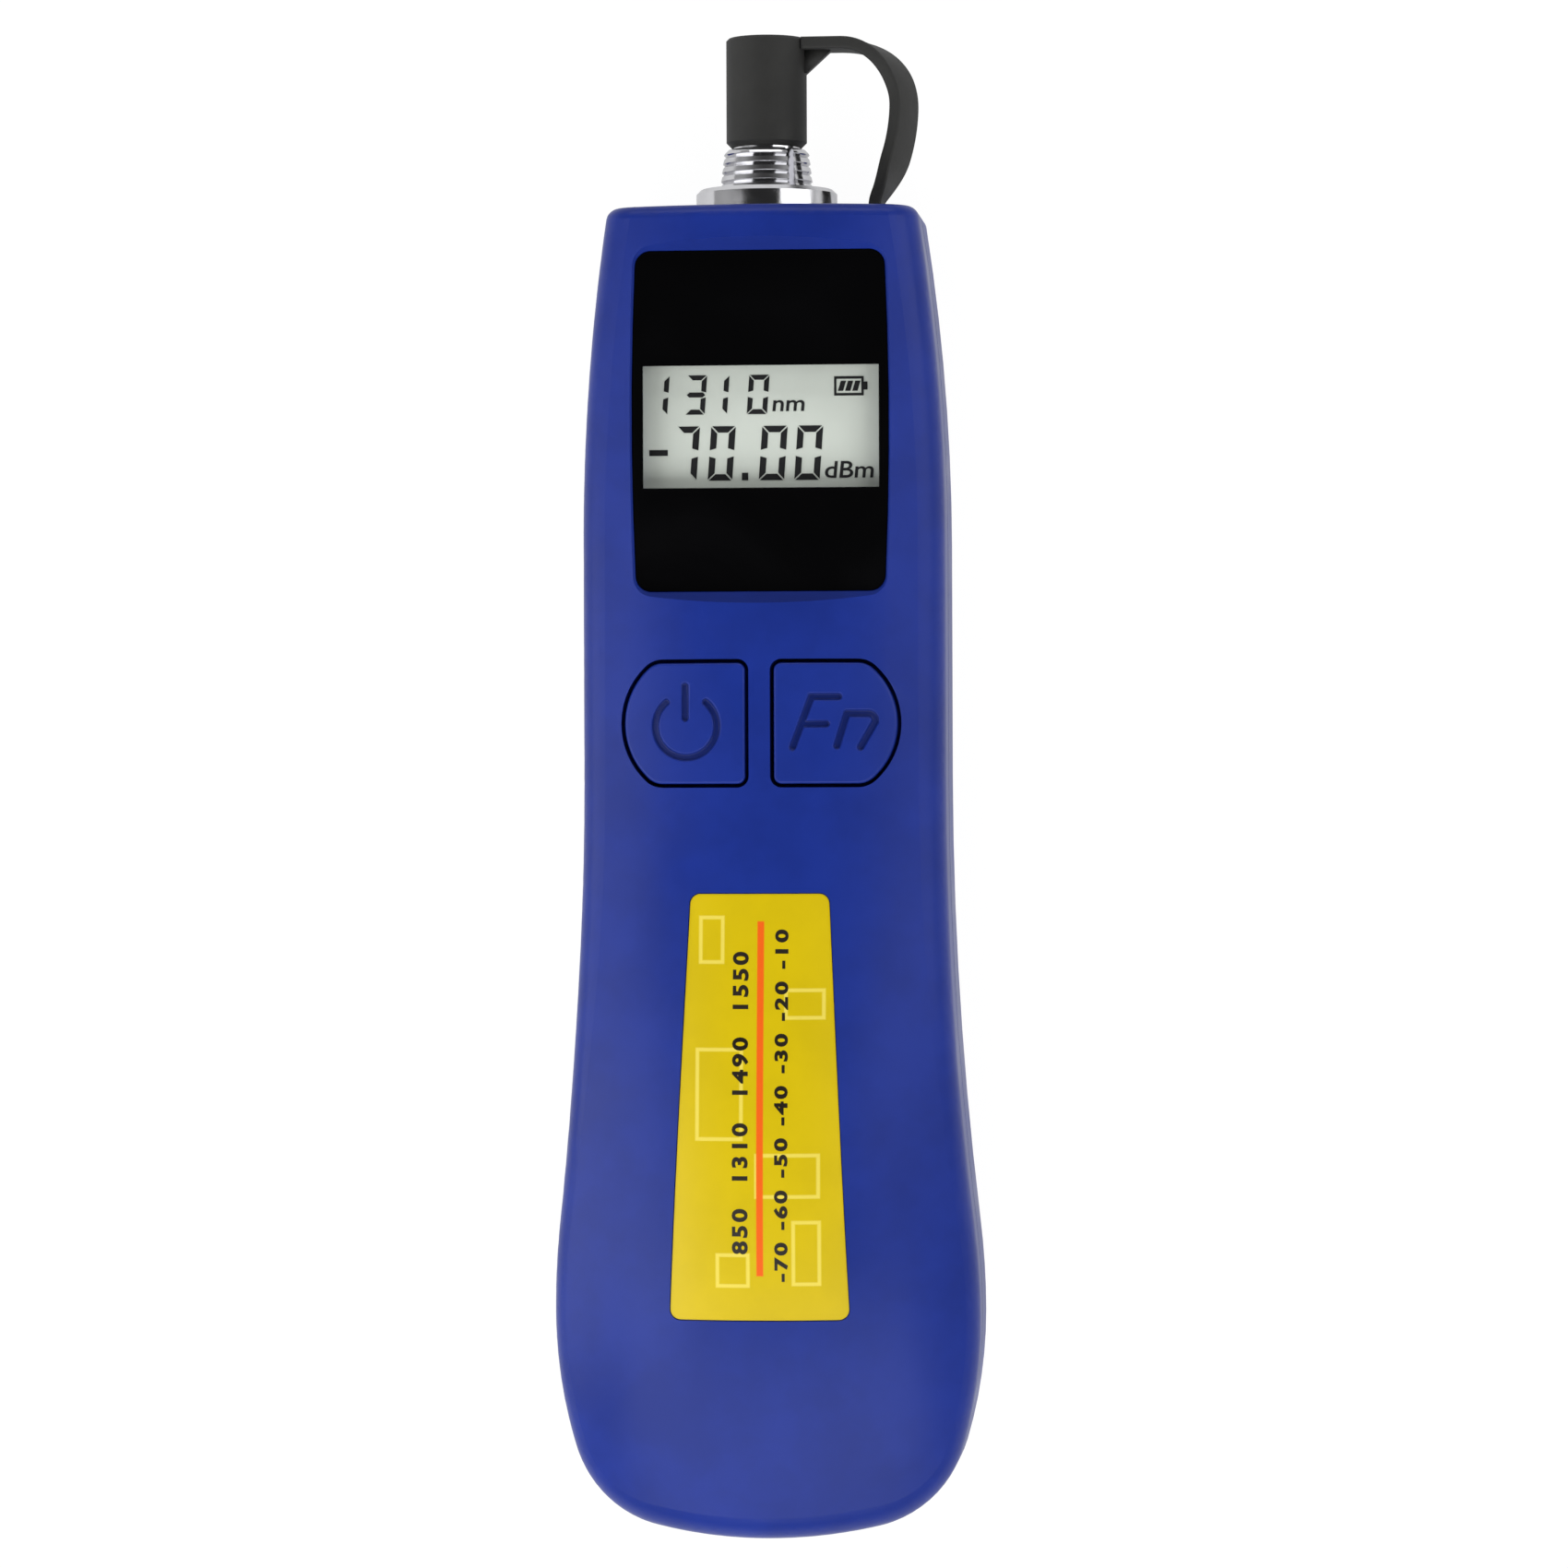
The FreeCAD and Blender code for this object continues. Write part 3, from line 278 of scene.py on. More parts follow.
def closed_rings(rings, start, end):
    """Points and faces of rings joined band by band, each end closed to one point.

    Ring i's point j is joined to ring i + 1's point j; j runs anticlockwise seen from the start.
    """
    count, around = rings.shape[:2]
    points = np.concatenate([rings.reshape(-1, 3), [start, end]])
    here = np.arange(around)
    following = np.roll(here, -1)
    row = np.arange(count - 1)[:, None] * around
    bands = np.stack([row + here, row + around + here, row + around + following, row + following], -1)
    first = np.stack([np.full(around, count * around), here, following], -1)
    last_row = (count - 1) * around
    last = np.stack([np.full(around, count * around + 1), last_row + following, last_row + here], -1)
    return points, bands.reshape(-1, 4).tolist() + first.tolist() + last.tolist()


def flat_plates(outlines, low, high):
    """Points and faces of closed plates: each convex outline, anticlockwise, raised from low to high."""
    points, faces, used = [], [], 0
    for outline in outlines:
        outline = np.asarray(outline, float)
        count = len(outline)
        points += [np.column_stack([outline, np.full(count, low)]),
                   np.column_stack([outline, np.full(count, high)])]
        here = np.arange(count)
        following = np.roll(here, -1)
        sides = np.stack([here, following, following + count, here + count], -1) + used
        faces += sides.tolist() + [(here[::-1] + used).tolist(), (here + count + used).tolist()]
        used += 2 * count
    return np.concatenate(points), faces


def arc_points(centre, radius, start, end, count):
    """count points on an arc, angles in degrees, without the last one."""
    angle = np.radians(np.linspace(start, end, count, endpoint=False))
    return np.column_stack([centre[0] + radius * np.cos(angle), centre[1] + radius * np.sin(angle)])


def line_points(start, end, count):
    """count points on a line, without the last one."""
    share = np.linspace(0, 1, count, endpoint=False)[:, None]
    return np.asarray(start) * (1 - share) + np.asarray(end) * share


# ---------------- settings

def colour_setting(name, description, *eight_bit):
    return bpy.props.FloatVectorProperty(
        name=name, description=description, subtype="COLOR", size=3, min=0.0, max=1.0,
        default=screen_colour(*eight_bit))


def length_setting(name, description, millimetres):
    return bpy.props.FloatProperty(name=name, description=description, unit="LENGTH",
                                   default=millimetres * MM, precision=5)


def share_setting(name, description, share):
    return bpy.props.FloatProperty(name=name, description=description, default=share, min=0.0, max=1.0,
                                   subtype="FACTOR")


def angle_setting(name, description, degrees):
    return bpy.props.FloatProperty(name=name, description=description, default=math.radians(degrees),
                                   subtype="ANGLE", unit="ROTATION")


def strength_setting(name, description, strength, unit="NONE"):
    return bpy.props.FloatProperty(name=name, description=description, default=strength, min=0.0, unit=unit)


class HousingSettings(bpy.types.PropertyGroup):
    """Finish of the moulded housing."""
    colour: colour_setting("Housing Colour", "Colour of the moulded shells and the battery door", 23, 43, 124)
    roughness: share_setting("Roughness", "How dull the moulded faces are", 0.34)


class WindowSettings(bpy.types.PropertyGroup):
    """Black window and the opening in its print."""
    border: colour_setting("Border Colour", "Black print behind the window", 6, 6, 7)
    opening_width: length_setting("Opening Width", "Clear opening across the meter", 28.0)
    opening_length: length_setting("Opening Length", "Clear opening along the meter", 14.5)
    opening_rise: length_setting("Opening Rise", "Opening's middle above the display's middle", 0.07)
    clear_film: share_setting("Clear Film", "How much the clear part still hides", 0.06)


class DisplaySettings(bpy.types.PropertyGroup):
    """Reading and colours of the display."""
    ground: colour_setting("Display Ground", "Colour of the display where no segment is on", 216, 223, 214)
    ink: colour_setting("Segment Colour", "Colour of a segment that is on", 8, 9, 12)
    slant: angle_setting("Slant", "Lean of the segments", 4)


class KeySettings(bpy.types.PropertyGroup):
    """Faces of the two keys."""
    colour: colour_setting("Key Colour", "Colour of the keys", 24, 44, 125)
    mark_depth: length_setting("Mark Depth", "Depth of the moulded symbols", 0.36)
    # painted shade: how much the symbols' strokes are darkened, standing in for the shade inside their
    # engraved grooves
    painted_groove_shade: share_setting("Mark Shade", "How dark the symbols are", 0.5)
    mark_slope: length_setting("Mark Slope", "Width of the sloping side of a symbol", 0.22)


class LabelSettings(bpy.types.PropertyGroup):
    """Print on the label."""
    ground: colour_setting("Label Colour", "Colour of the label film", 197, 172, 1)
    line: colour_setting("Line Colour", "Colour of the long line", 222, 92, 20)
    pale: colour_setting("Outline Colour", "Colour of the faint outlines", 236, 222, 110)
    ink: colour_setting("Number Colour", "Colour of the numbers", 26, 18, 6)
    line_width: length_setting("Line Width", "Width of the long line", 0.8)


class StrapSettings(bpy.types.PropertyGroup):
    """Rubber cap and strap."""
    colour: colour_setting("Rubber Colour", "Colour of the cap and its strap", 38, 38, 37)
    tilt: angle_setting("Strap Tilt", "Lean of the strap below its bow", 25)


class StudioSettings(bpy.types.PropertyGroup):
    """Camera and light."""
    camera_lean: angle_setting("Camera Lean", "Angle from straight above", 5.0)
    camera_distance: length_setting("Camera Distance", "From the camera to the middle of the view", 700.0)
    camera_turn: angle_setting("Camera Turn", "Turn about the camera's own axis", -0.2)
    sky: strength_setting("Surround Light", "Strength of the white surround", 0.42)
    overhead: strength_setting("Overhead", "Strength of the surround straight above", 0.03)
    left_power: strength_setting("Left Light", "Power of the left softbox", 1.6, "POWER")
    right_power: strength_setting("Right Light", "Power of the right softbox", 0.8, "POWER")
    port_power: strength_setting("Port Light", "Power of the softbox past the port", 0.8, "POWER")
    palm_power: strength_setting("Palm Light", "Power of the softbox past the palm", 4.2, "POWER")


# ---------------- housing, window and display

class METER_OT_housing(bpy.types.Operator):
    """Moulded blue finish for both shells and the battery door"""
    bl_idname = "meter.housing"
    bl_label = "Housing"

    def execute(self, context):
        settings = context.scene.meter_housing
        wear(plastic_finish("Housing Plastic", tuple(settings.colour), roughness=settings.roughness,
                            drift=0.10, fineness=3200.0, specular=0.16),
             "front_shell", "rear_shell", "battery_door")
        return {"FINISHED"}


class METER_OT_window(bpy.types.Operator):
    """Clear window with a black printed border"""
    bl_idname = "meter.window"
    bl_label = "Window"

    def execute(self, context):
        settings = context.scene.meter_window
        low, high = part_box("display_glass")
        middle = (low + high) / 2 + Vector((0, settings.opening_rise, 0))
        material, tree, shader, place = blank_finish("Printed Window")
        reach = placed(tree, "Plate Distance", place, Middle=middle,
                       Half_Size=(settings.opening_width / 2, settings.opening_length / 2, 0))["Distance"]
        print_mask = between(tree, reach, -0.00008, 0.00008)
        tree.links.new(between(tree, print_mask, 0.0, 1.0, settings.clear_film, 1.0), shader.inputs["Alpha"])
        marks = placed(tree, "Handling Marks", place, Patch_Scale=45.0)
        deep = tuple(value * 0.6 for value in settings.border)
        tree.links.new(mixed(tree, marks["Rub"], deep, tuple(settings.border)), shader.inputs["Base Color"])
        tree.links.new(between(tree, marks["Rub"], 0.0, 1.0, 0.07, 0.16), shader.inputs["Roughness"])
        shader.inputs["Specular IOR Level"].default_value = 0.3
        wear(material, "display_window")
        return {"FINISHED"}


SEGMENTS = {"0": "abcdef", "1": "bc", "2": "abdeg", "3": "abcdg", "4": "bcfg", "5": "acdfg",
            "6": "acdefg", "7": "abc", "8": "abcdefg", "9": "abcdfg"}

# The display's contents in millimetres: across from the opening's left side, down from its top.
# Rows: the digits with their left and right, then the row's top, bottom and stroke.
READING = (
    ((("1", 0.35, 2.75), ("3", 4.85, 7.2), ("1", 7.5, 9.85), ("0", 12.2, 14.6)), 1.07, 5.7, 0.58),
    ((("7", 3.5, 6.2), ("0", 7.55, 10.45), ("0", 13.6, 16.6), ("0", 17.8, 20.8)), 7.1, 13.5, 0.75),
)
SIGN_AND_POINT = ((0.62, 9.85, 2.82, 10.55), (11.6, 12.6, 12.35, 13.5))
UNITS = (("nm", 15.25, 19.05, 5.35, 2.7), ("dBm", 21.45, 27.2, 13.25, 2.8))    # left, right, baseline, size
BATTERY_FRAME = ((22.55, 1.33, 26.05, 1.63), (22.55, 3.31, 26.05, 3.61), (22.55, 1.63, 22.83, 3.31),
                 (25.77, 1.63, 26.05, 3.31), (26.05, 1.97, 26.5, 2.93))
BATTERY_BARS = (23.0, 23.85, 24.7)      # where each bar of the battery's charge starts
BAR_WIDTH, BAR_SLANT, BAR_TOP, BAR_FOOT = 0.62, 0.35, 1.87, 3.05
FILM_LOW, FILM_HIGH = 0.01, 0.05        # the segments' film above the glass


def digit_outlines(digit, left, right, low, high, stroke, slant):
    """Seven-segment bars: trapezoids with their long side outwards, leaned over by the slant."""
    gap = stroke * 0.16
    middle = (low + high) / 2
    half, rise = stroke / 2, stroke * 0.8
    bars = {
        "a": [(left + gap, high), (left + stroke + gap, high - stroke),
              (right - stroke - gap, high - stroke), (right - gap, high)],
        "d": [(left + gap, low), (right - gap, low), (right - stroke - gap, low + stroke),
              (left + stroke + gap, low + stroke)],
        "g": [(left + gap, middle), (left + half + gap, middle - half), (right - half - gap, middle - half),
              (right - gap, middle), (right - half - gap, middle + half), (left + half + gap, middle + half)],
        "f": [(left, high - gap), (left, middle + half), (left + stroke, middle + rise),
              (left + stroke, high - stroke - gap)],
        "e": [(left, middle - half), (left, low + gap), (left + stroke, low + stroke + gap),
              (left + stroke, middle - rise)],
        "b": [(right, high - gap), (right - stroke, high - stroke - gap),
              (right - stroke, middle + rise), (right, middle + half)],
        "c": [(right, middle - half), (right - stroke, middle - rise),
              (right - stroke, low + stroke + gap), (right, low + gap)],
    }
    outlines = []
    for letter in SEGMENTS[digit]:
        bar = np.array(bars[letter])
        bar[:, 0] += (bar[:, 1] - low) * math.tan(slant)
        outlines.append(bar)
    return outlines


def rectangle(left, low, right, high):
    return [(left, low), (right, low), (right, high), (left, high)]


def text_mesh(text, size, spacing=1.0, lean=0.0, weight=0.0, thickness=0.0):
    """A text's mesh, standing at the origin, in millimetres; weight is what its strokes gain a side."""
    curve = bpy.data.curves.new("writing", "FONT")
    curve.body = text
    curve.size = size
    curve.space_character = spacing
    curve.shear = lean
    curve.extrude = thickness / 2
    curve.offset = weight
    curve.resolution_u = 4
    holder = bpy.data.objects.new("writing", curve)
    bpy.context.scene.collection.objects.link(holder)
    bpy.context.view_layer.update()
    mesh = bpy.data.meshes.new_from_object(holder.evaluated_get(bpy.context.evaluated_depsgraph_get()))
    bpy.data.objects.remove(holder)
    bpy.data.curves.remove(curve)
    points = np.zeros(len(mesh.vertices) * 3)
    mesh.vertices.foreach_get("co", points)
    faces = [list(face.vertices) for face in mesh.polygons]
    bpy.data.meshes.remove(mesh)
    return points.reshape(-1, 3), faces


def join_meshes(parts):
    """One list of points and faces out of several."""
    points, faces, used = [], [], 0
    for part_points, part_faces in parts:
        points.append(part_points)
        faces += [[index + used for index in face] for face in part_faces]
        used += len(part_points)
    return np.concatenate(points), faces


class METER_OT_display(bpy.types.Operator):
    """Display ground and the segments that are on"""
    bl_idname = "meter.display"
    bl_label = "Display"

    def execute(self, context):
        settings = context.scene.meter_display
        window = context.scene.meter_window
        low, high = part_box("display_glass")
        material, tree, shader, place = blank_finish("Display Ground")
        grain = placed(tree, "Moulded Grain", place, Fineness=9000.0, Drift=60.0)
        ground = tuple(settings.ground)
        shade = tuple(value * 0.93 for value in ground)
        tree.links.new(mixed(tree, grain["Tone"], shade, ground), shader.inputs["Base Color"])
        roughened(tree, shader, grain["Height"], 0.1, 0.00001)
        shader.inputs["Roughness"].default_value = 0.45
        wear(material, "display_glass")

        left = (low.x + high.x) / 2 / MM - window.opening_width / MM / 2
        top = ((low.y + high.y) / 2 + window.opening_rise + window.opening_length / 2) / MM
        face = high.z / MM
        slant = settings.slant
        outlines = []
        for digits, row_top, row_foot, stroke in READING:
            for digit, start, end in digits:
                outlines += digit_outlines(digit, left + start, left + end, top - row_foot, top - row_top,
                                           stroke, slant)
        plates = [rectangle(*sides) for sides in SIGN_AND_POINT + BATTERY_FRAME]
        plates += [[(start + BAR_SLANT, BAR_TOP), (start + BAR_SLANT + BAR_WIDTH, BAR_TOP),
                    (start + BAR_WIDTH, BAR_FOOT), (start, BAR_FOOT)] for start in BATTERY_BARS]
        for plate in plates:
            plate = np.array(plate)
            outlines.append(np.column_stack([left + plate[:, 0], top - plate[:, 1]])[::-1])
        parts = [flat_plates(outlines, face + FILM_LOW, face + FILM_HIGH)]
        for text, start, end, drop, size in UNITS:
            points, faces = text_mesh(text, size, lean=0.08, weight=0.03, thickness=FILM_HIGH - FILM_LOW)
            points[:, 0] *= (end - start) / np.ptp(points[:, 0])
            points[:, 0] -= points[:, 0].min()
            parts.append((points + (left + start, top - drop, face + (FILM_LOW + FILM_HIGH) / 2), faces))
        points, faces = join_meshes(parts)
        ink, tree, shader, place = blank_finish("Segment Ink")
        grain = placed(tree, "Moulded Grain", place, Fineness=2500.0)
        colour = tuple(settings.ink)
        faded = tuple(value * 1.5 for value in colour)
        tree.links.new(mixed(tree, grain["Tone"], colour, faded), shader.inputs["Base Color"])
        shader.inputs["Roughness"].default_value = 0.5
        make_piece("display_segments", points, faces, "housing", ink, smooth=False)
        return {"FINISHED"}


# ---------------- keys

KEY_FLANGE = 1.25           # the key's flange stands out by this much under the housing
KEY_RECESS = 0.05           # key face below the housing's crown
KEY_EDGE = 0.3              # rounding of the face's edge
KEY_ARC_EXTRA = 1.6         # outer side's radius beyond half the key's length
KEY_INNER_CORNER = 0.9
KEY_OUTER_BLEND = 2.6
MARK_HALF_STROKE = 0.38
CROWN_RADIUS = 56.0
CROWN_HEIGHT = 25.6
FLANGE_FOOT = 0.4           # the flange's underside above the stem's end
FLANGE_HEIGHT = 1.0
STEM_RADIUS = 1.7
FACE_RINGS = 84


def key_outline(half_x, half_y, grow):
    """A D round the origin: flat inner side at -x, an arc at +x, grown by grow. Points run anticlockwise."""
    half_x, half_y = half_x + grow, half_y + grow
    radius = half_y + KEY_ARC_EXTRA
    centre_x = half_x - radius
    inner, outer = max(KEY_INNER_CORNER + grow, 0.2), KEY_OUTER_BLEND + grow
    blend_y = half_y - outer
    blend_x = centre_x + math.sqrt((radius - outer) ** 2 - blend_y ** 2)
    turn = math.degrees(math.atan2(blend_y, blend_x - centre_x))
    return np.concatenate([
        arc_points((centre_x, 0), radius, -turn, turn, 72),
        arc_points((blend_x, blend_y), outer, turn, 90, 24),
        line_points((blend_x, half_y), (-half_x + inner, half_y), 48),
        arc_points((-half_x + inner, half_y - inner), inner, 90, 180, 16),
        line_points((-half_x, half_y - inner), (-half_x, inner - half_y), 72),
        arc_points((-half_x + inner, inner - half_y), inner, 180, 270, 16),
        line_points((-half_x + inner, -half_y), (blend_x, -half_y), 48),
        arc_points((blend_x, -blend_y), outer, -90, -turn, 24),
    ])


def to_segment(points, start, end):
    """Distance of each point from a segment."""
    start, run = np.asarray(start), np.asarray(end) - np.asarray(start)
    share = np.clip(((points - start) @ run) / (run @ run), 0, 1)
    return np.linalg.norm(points - start - share[..., None] * run, axis=-1)


def to_arc(points, centre, radius, middle, reach):
    """Distance from an arc that spans reach degrees each side of the direction middle."""
    offset = points - np.asarray(centre)
    turn = np.degrees(np.arctan2(offset[..., 1], offset[..., 0])) - middle
    turn = np.abs((turn + 180) % 360 - 180)
    ends = np.radians([middle - reach, middle + reach])
    tips = [np.linalg.norm(offset - radius * np.array([math.cos(a), math.sin(a)]), axis=-1) for a in ends]
    on_arc = np.abs(np.linalg.norm(offset, axis=-1) - radius)
    return np.where(turn <= reach, on_arc, np.minimum(*tips))


def power_mark(points):
    """Distance inside the power symbol: a ring open at its top, and a bar in the opening."""
    ring = to_arc(points, (0.2, -0.3), 3.68, -90, 140)
    bar = to_segment(points, (0.1, 0.65), (0.1, 4.4))
    return MARK_HALF_STROKE - np.minimum(ring, bar)


def function_mark(points):
    """Distance inside the letters of the function key."""
    strokes = [((-4.97, -2.8), (-2.78, 3.1)), ((-2.78, 3.1), (0.37, 3.1)), ((-3.56, -0.09), (-1.07, -0.09)),
               ((0.17, -2.67), (1.35, 1.13)), ((1.35, 1.13), (3.8, 1.13)), ((4.58, 0.1), (2.92, -2.8))]
    corner = to_arc(points, (3.8, 0.3), 0.83, 40, 52)
    parts = [to_segment(points, *stroke) for stroke in strokes] + [corner]
    return MARK_HALF_STROKE - np.minimum.reduce(parts)


class METER_OT_keys(bpy.types.Operator):
    """Two D keys with moulded symbols.

    The face's height over each point is the crown's arc, less the symbol's depth: a smooth step of the
    distance inside the symbol's strokes, over the width of their sloping sides.
    """
    bl_idname = "meter.keys"
    bl_label = "Keys"

    def execute(self, context):
        settings = context.scene.meter_keys
        material = plastic_finish("Key Plastic", tuple(settings.colour), roughness=0.34, drift=0.08,
                                  fineness=3200.0, specular=0.16)
        tree = material.node_tree
        base = next(node for node in tree.nodes if node.type == "BSDF_PRINCIPLED").inputs["Base Color"]
        # Painted shade: the base colour is darkened inside the engraved strokes, standing in for the shade
        # that falls in the grooves.
        stroke = add_node(tree, "ShaderNodeAttribute", attribute_name="stroke").outputs["Fac"]
        deep = tuple(value * settings.painted_groove_shade for value in settings.colour)
        tree.links.new(mixed(tree, stroke, base.links[0].from_socket, deep), base)
        for node, side, mark in (("power_key", -1, power_mark), ("function_key", 1, function_mark)):
            low, high = (np.array(corner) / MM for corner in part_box(node))
            middle = (low + high) / 2
            half_x, half_y = (high - low)[:2] / 2 - KEY_FLANGE
            rings, heights = [], []

            def crown(plan):
                """Height of the housing's crown over plan: an arc across the meter, less the recess."""
                x = np.abs(middle[0]) + plan[:, 0]
                return CROWN_HEIGHT - CROWN_RADIUS + np.sqrt((CROWN_RADIUS - KEY_RECESS) ** 2 - x ** 2)

            face = key_outline(half_x, half_y, -KEY_EDGE)
            for share in np.linspace(0.012, 1, FACE_RINGS):
                plan = face * share
                seen = plan * (side, 1)
                depth = np.clip(mark(seen) / (settings.mark_slope / MM) + 0.5, 0, 1)
                depth = depth * depth * (3 - 2 * depth) * settings.mark_depth / MM
                rings.append(plan)
                heights.append(crown(plan) - depth)
            for turn in np.radians(np.linspace(15, 90, 6)):
                plan = key_outline(half_x, half_y, -KEY_EDGE * (1 - math.sin(turn)))
                rings.append(plan)
                heights.append(crown(plan) - KEY_EDGE * (1 - math.cos(turn)))
            foot = low[2] + FLANGE_FOOT
            for grow, height in ((0, foot + FLANGE_HEIGHT), (KEY_FLANGE, foot + FLANGE_HEIGHT),
                                 (KEY_FLANGE, foot)):
                plan = key_outline(half_x, half_y, grow)
                rings.append(plan)
                heights.append(np.full(len(plan), height))
            reach = key_outline(half_x, half_y, 0)
            stem = reach / np.linalg.norm(reach, axis=1)[:, None] * STEM_RADIUS
            for height in (foot, low[2]):
                rings.append(stem)
                heights.append(np.full(len(stem), height))
            grid = np.dstack([np.stack(rings), np.stack(heights)])
            grid[..., 0] += abs(middle[0])
            grid[..., 1] += middle[1]
            if side < 0:
                grid = grid[:, ::-1] * (-1, 1, 1)
            centre = grid[0].mean(0)
            points, faces = closed_rings(grid, centre, (middle[0], middle[1], low[2]))
            piece = make_piece(node + "_face", points, faces, node, material)
            # mask of the painted groove shade: 1 inside the strokes, smoothed over their sloping sides
            shade = np.clip(mark(points[:, :2] - middle[:2]) / (settings.mark_slope / MM) + 0.5, 0, 1)
            piece.data.attributes.new("stroke", "FLOAT", "POINT").data.foreach_set("value", shade)
            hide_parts(node)
        return {"FINISHED"}


# ---------------- label

# Millimetres from the label's middle: the middle and half size of each faint outline.
LABEL_OUTLINES = ((-5.6, 19.5, 1.3, 2.6), (5.4, 12.0, 2.2, 1.6), (-4.6, 1.5, 2.6, 5.2), (3.4, -8.0, 3.6, 2.4),
                  (-3.0, -19.0, 1.8, 1.8), (5.6, -17.0, 1.5, 3.6))
# Columns of numbers: where their feet stand across the meter, where they start and end along it, height.
LABEL_NUMBERS = (("850  1310  1490  1550", -1.3, -44.3, -9.1, 1.92),
                 ("-70 -60 -50 -40 -30 -20 -10", 3.36, -47.5, -6.5, 1.64))
ABOVE_HOUSING = 35.0        # the numbers start here and are dropped on to the label


class METER_OT_label(bpy.types.Operator):
    """Yellow label with a line, faint outlines and plain numbers"""
    bl_idname = "meter.label"
    bl_label = "Label"

    def execute(self, context):
        settings = context.scene.meter_label
        low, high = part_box("front_label")
        middle = (low + high) / 2
        material, tree, shader, place = blank_finish("Label Film")
        grain = placed(tree, "Moulded Grain", place, Fineness=1500.0, Drift=120.0)
        ground = tuple(settings.ground)
        colour = mixed(tree, grain["Tone"], tuple(value * 0.93 for value in ground), ground)
        for offset_x, offset_y, half_x, half_y in LABEL_OUTLINES:
            reach = placed(tree, "Plate Distance", place,
                           Middle=(middle.x + offset_x * MM, middle.y + offset_y * MM, 0),
                           Half_Size=(half_x * MM, half_y * MM, 0))["Distance"]
            edge = calculate(tree, "ABSOLUTE", reach)
            share = between(tree, edge, 0.00012, 0.0003, 0.5, 0.0)
            colour = mixed(tree, share, colour, tuple(settings.pale))
        reach = placed(tree, "Plate Distance", place, Middle=(middle.x + 0.2 * MM, middle.y + 1.0 * MM, 0),
                       Half_Size=(settings.line_width / 2, (high.y - low.y) / 2 - 4.2 * MM, 0))["Distance"]
        share = between(tree, reach, -0.0001, 0.0001, 1.0, 0.0)
        colour = mixed(tree, share, colour, tuple(settings.line))
        tree.links.new(colour, shader.inputs["Base Color"])
        shader.inputs["Roughness"].default_value = 0.38
        shader.inputs["Specular IOR Level"].default_value = 0.25
        roughened(tree, shader, grain["Height"], 0.15, 0.00002)
        wear(material, "front_label")

        ink = plastic_finish("Label Ink", tuple(settings.ink), drift=0.3, roughness=0.4)
        column = []
        for text, across, start, end, height in LABEL_NUMBERS:
            points, faces = text_mesh(text, height * 1.4, spacing=1.25, weight=0.1)
            points *= ((end - start) / np.ptp(points[:, 0]), height / np.ptp(points[:, 1]), 1)
            points[:, 0] -= points[:, 0].min()
            placed_points = np.column_stack([across - points[:, 1], start + points[:, 0],
                                             np.full(len(points), ABOVE_HOUSING)])
            column.append((placed_points, faces))
        points, faces = join_meshes(column)
        numbers = make_piece("label_numbers", points, faces, "housing", ink, smooth=False)
        wrap = numbers.modifiers.new("On the label", "SHRINKWRAP")
        wrap.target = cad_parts["front_label"]
        wrap.wrap_method = "PROJECT"
        wrap.use_project_z = True
        wrap.use_negative_direction = True
        wrap.use_positive_direction = False
        wrap.offset = 0.000004
        film = numbers.modifiers.new("Ink film", "SOLIDIFY")
        film.thickness = 0.00001
        film.offset = 1.0
        view = bpy.context.evaluated_depsgraph_get()
        solid = bpy.data.meshes.new_from_object(numbers.evaluated_get(view))
        numbers.modifiers.clear()
        numbers.data = solid
        return {"FINISHED"}


# ---------------- port, cap and strap

class METER_OT_port(bpy.types.Operator):
    """Plated fibre port"""
    bl_idname = "meter.port"
    bl_label = "Port"

    def execute(self, context):
        wear(turned_finish("Port Plating", screen_colour(204, 204, 207), 0.12), "connector_body")
        wear(turned_finish("Nut Plating", screen_colour(205, 200, 188), 0.28), "port_nut", "port_washer")
        wear(plastic_finish("Sleeve Ceramic", screen_colour(236, 232, 222), drift=0.04, roughness=0.2,
                            strength=0.05), "alignment_sleeve")
        return {"FINISHED"}


STRAP_THICKNESS = 1.5
STRAP_WIDTH = 5.0
STRAP_EDGE = 0.35
STRAP_INSET = 0.7           # the strap starts this far inside the cap's side
STRAP_RUN = 4.3
STRAP_BOW = 7.4             # radii of the bow, of the curve below it and of the turn at the root
STRAP_LOWER = 22.1
STRAP_ROOT = 2.0
STRAP_ANGLE = 30.0          # how far the lower curve turns back under the bow, in degrees
ANCHOR_LENGTH = 1.6
ANCHOR_WIDTH = 4.0
GUSSET_SIZE = 2.9           # web between the strap and the cap's side
GUSSET_WIDTH = 2.4
GUSSET_OVERLAP = 0.3        # the web reaches this far into the cap and the band


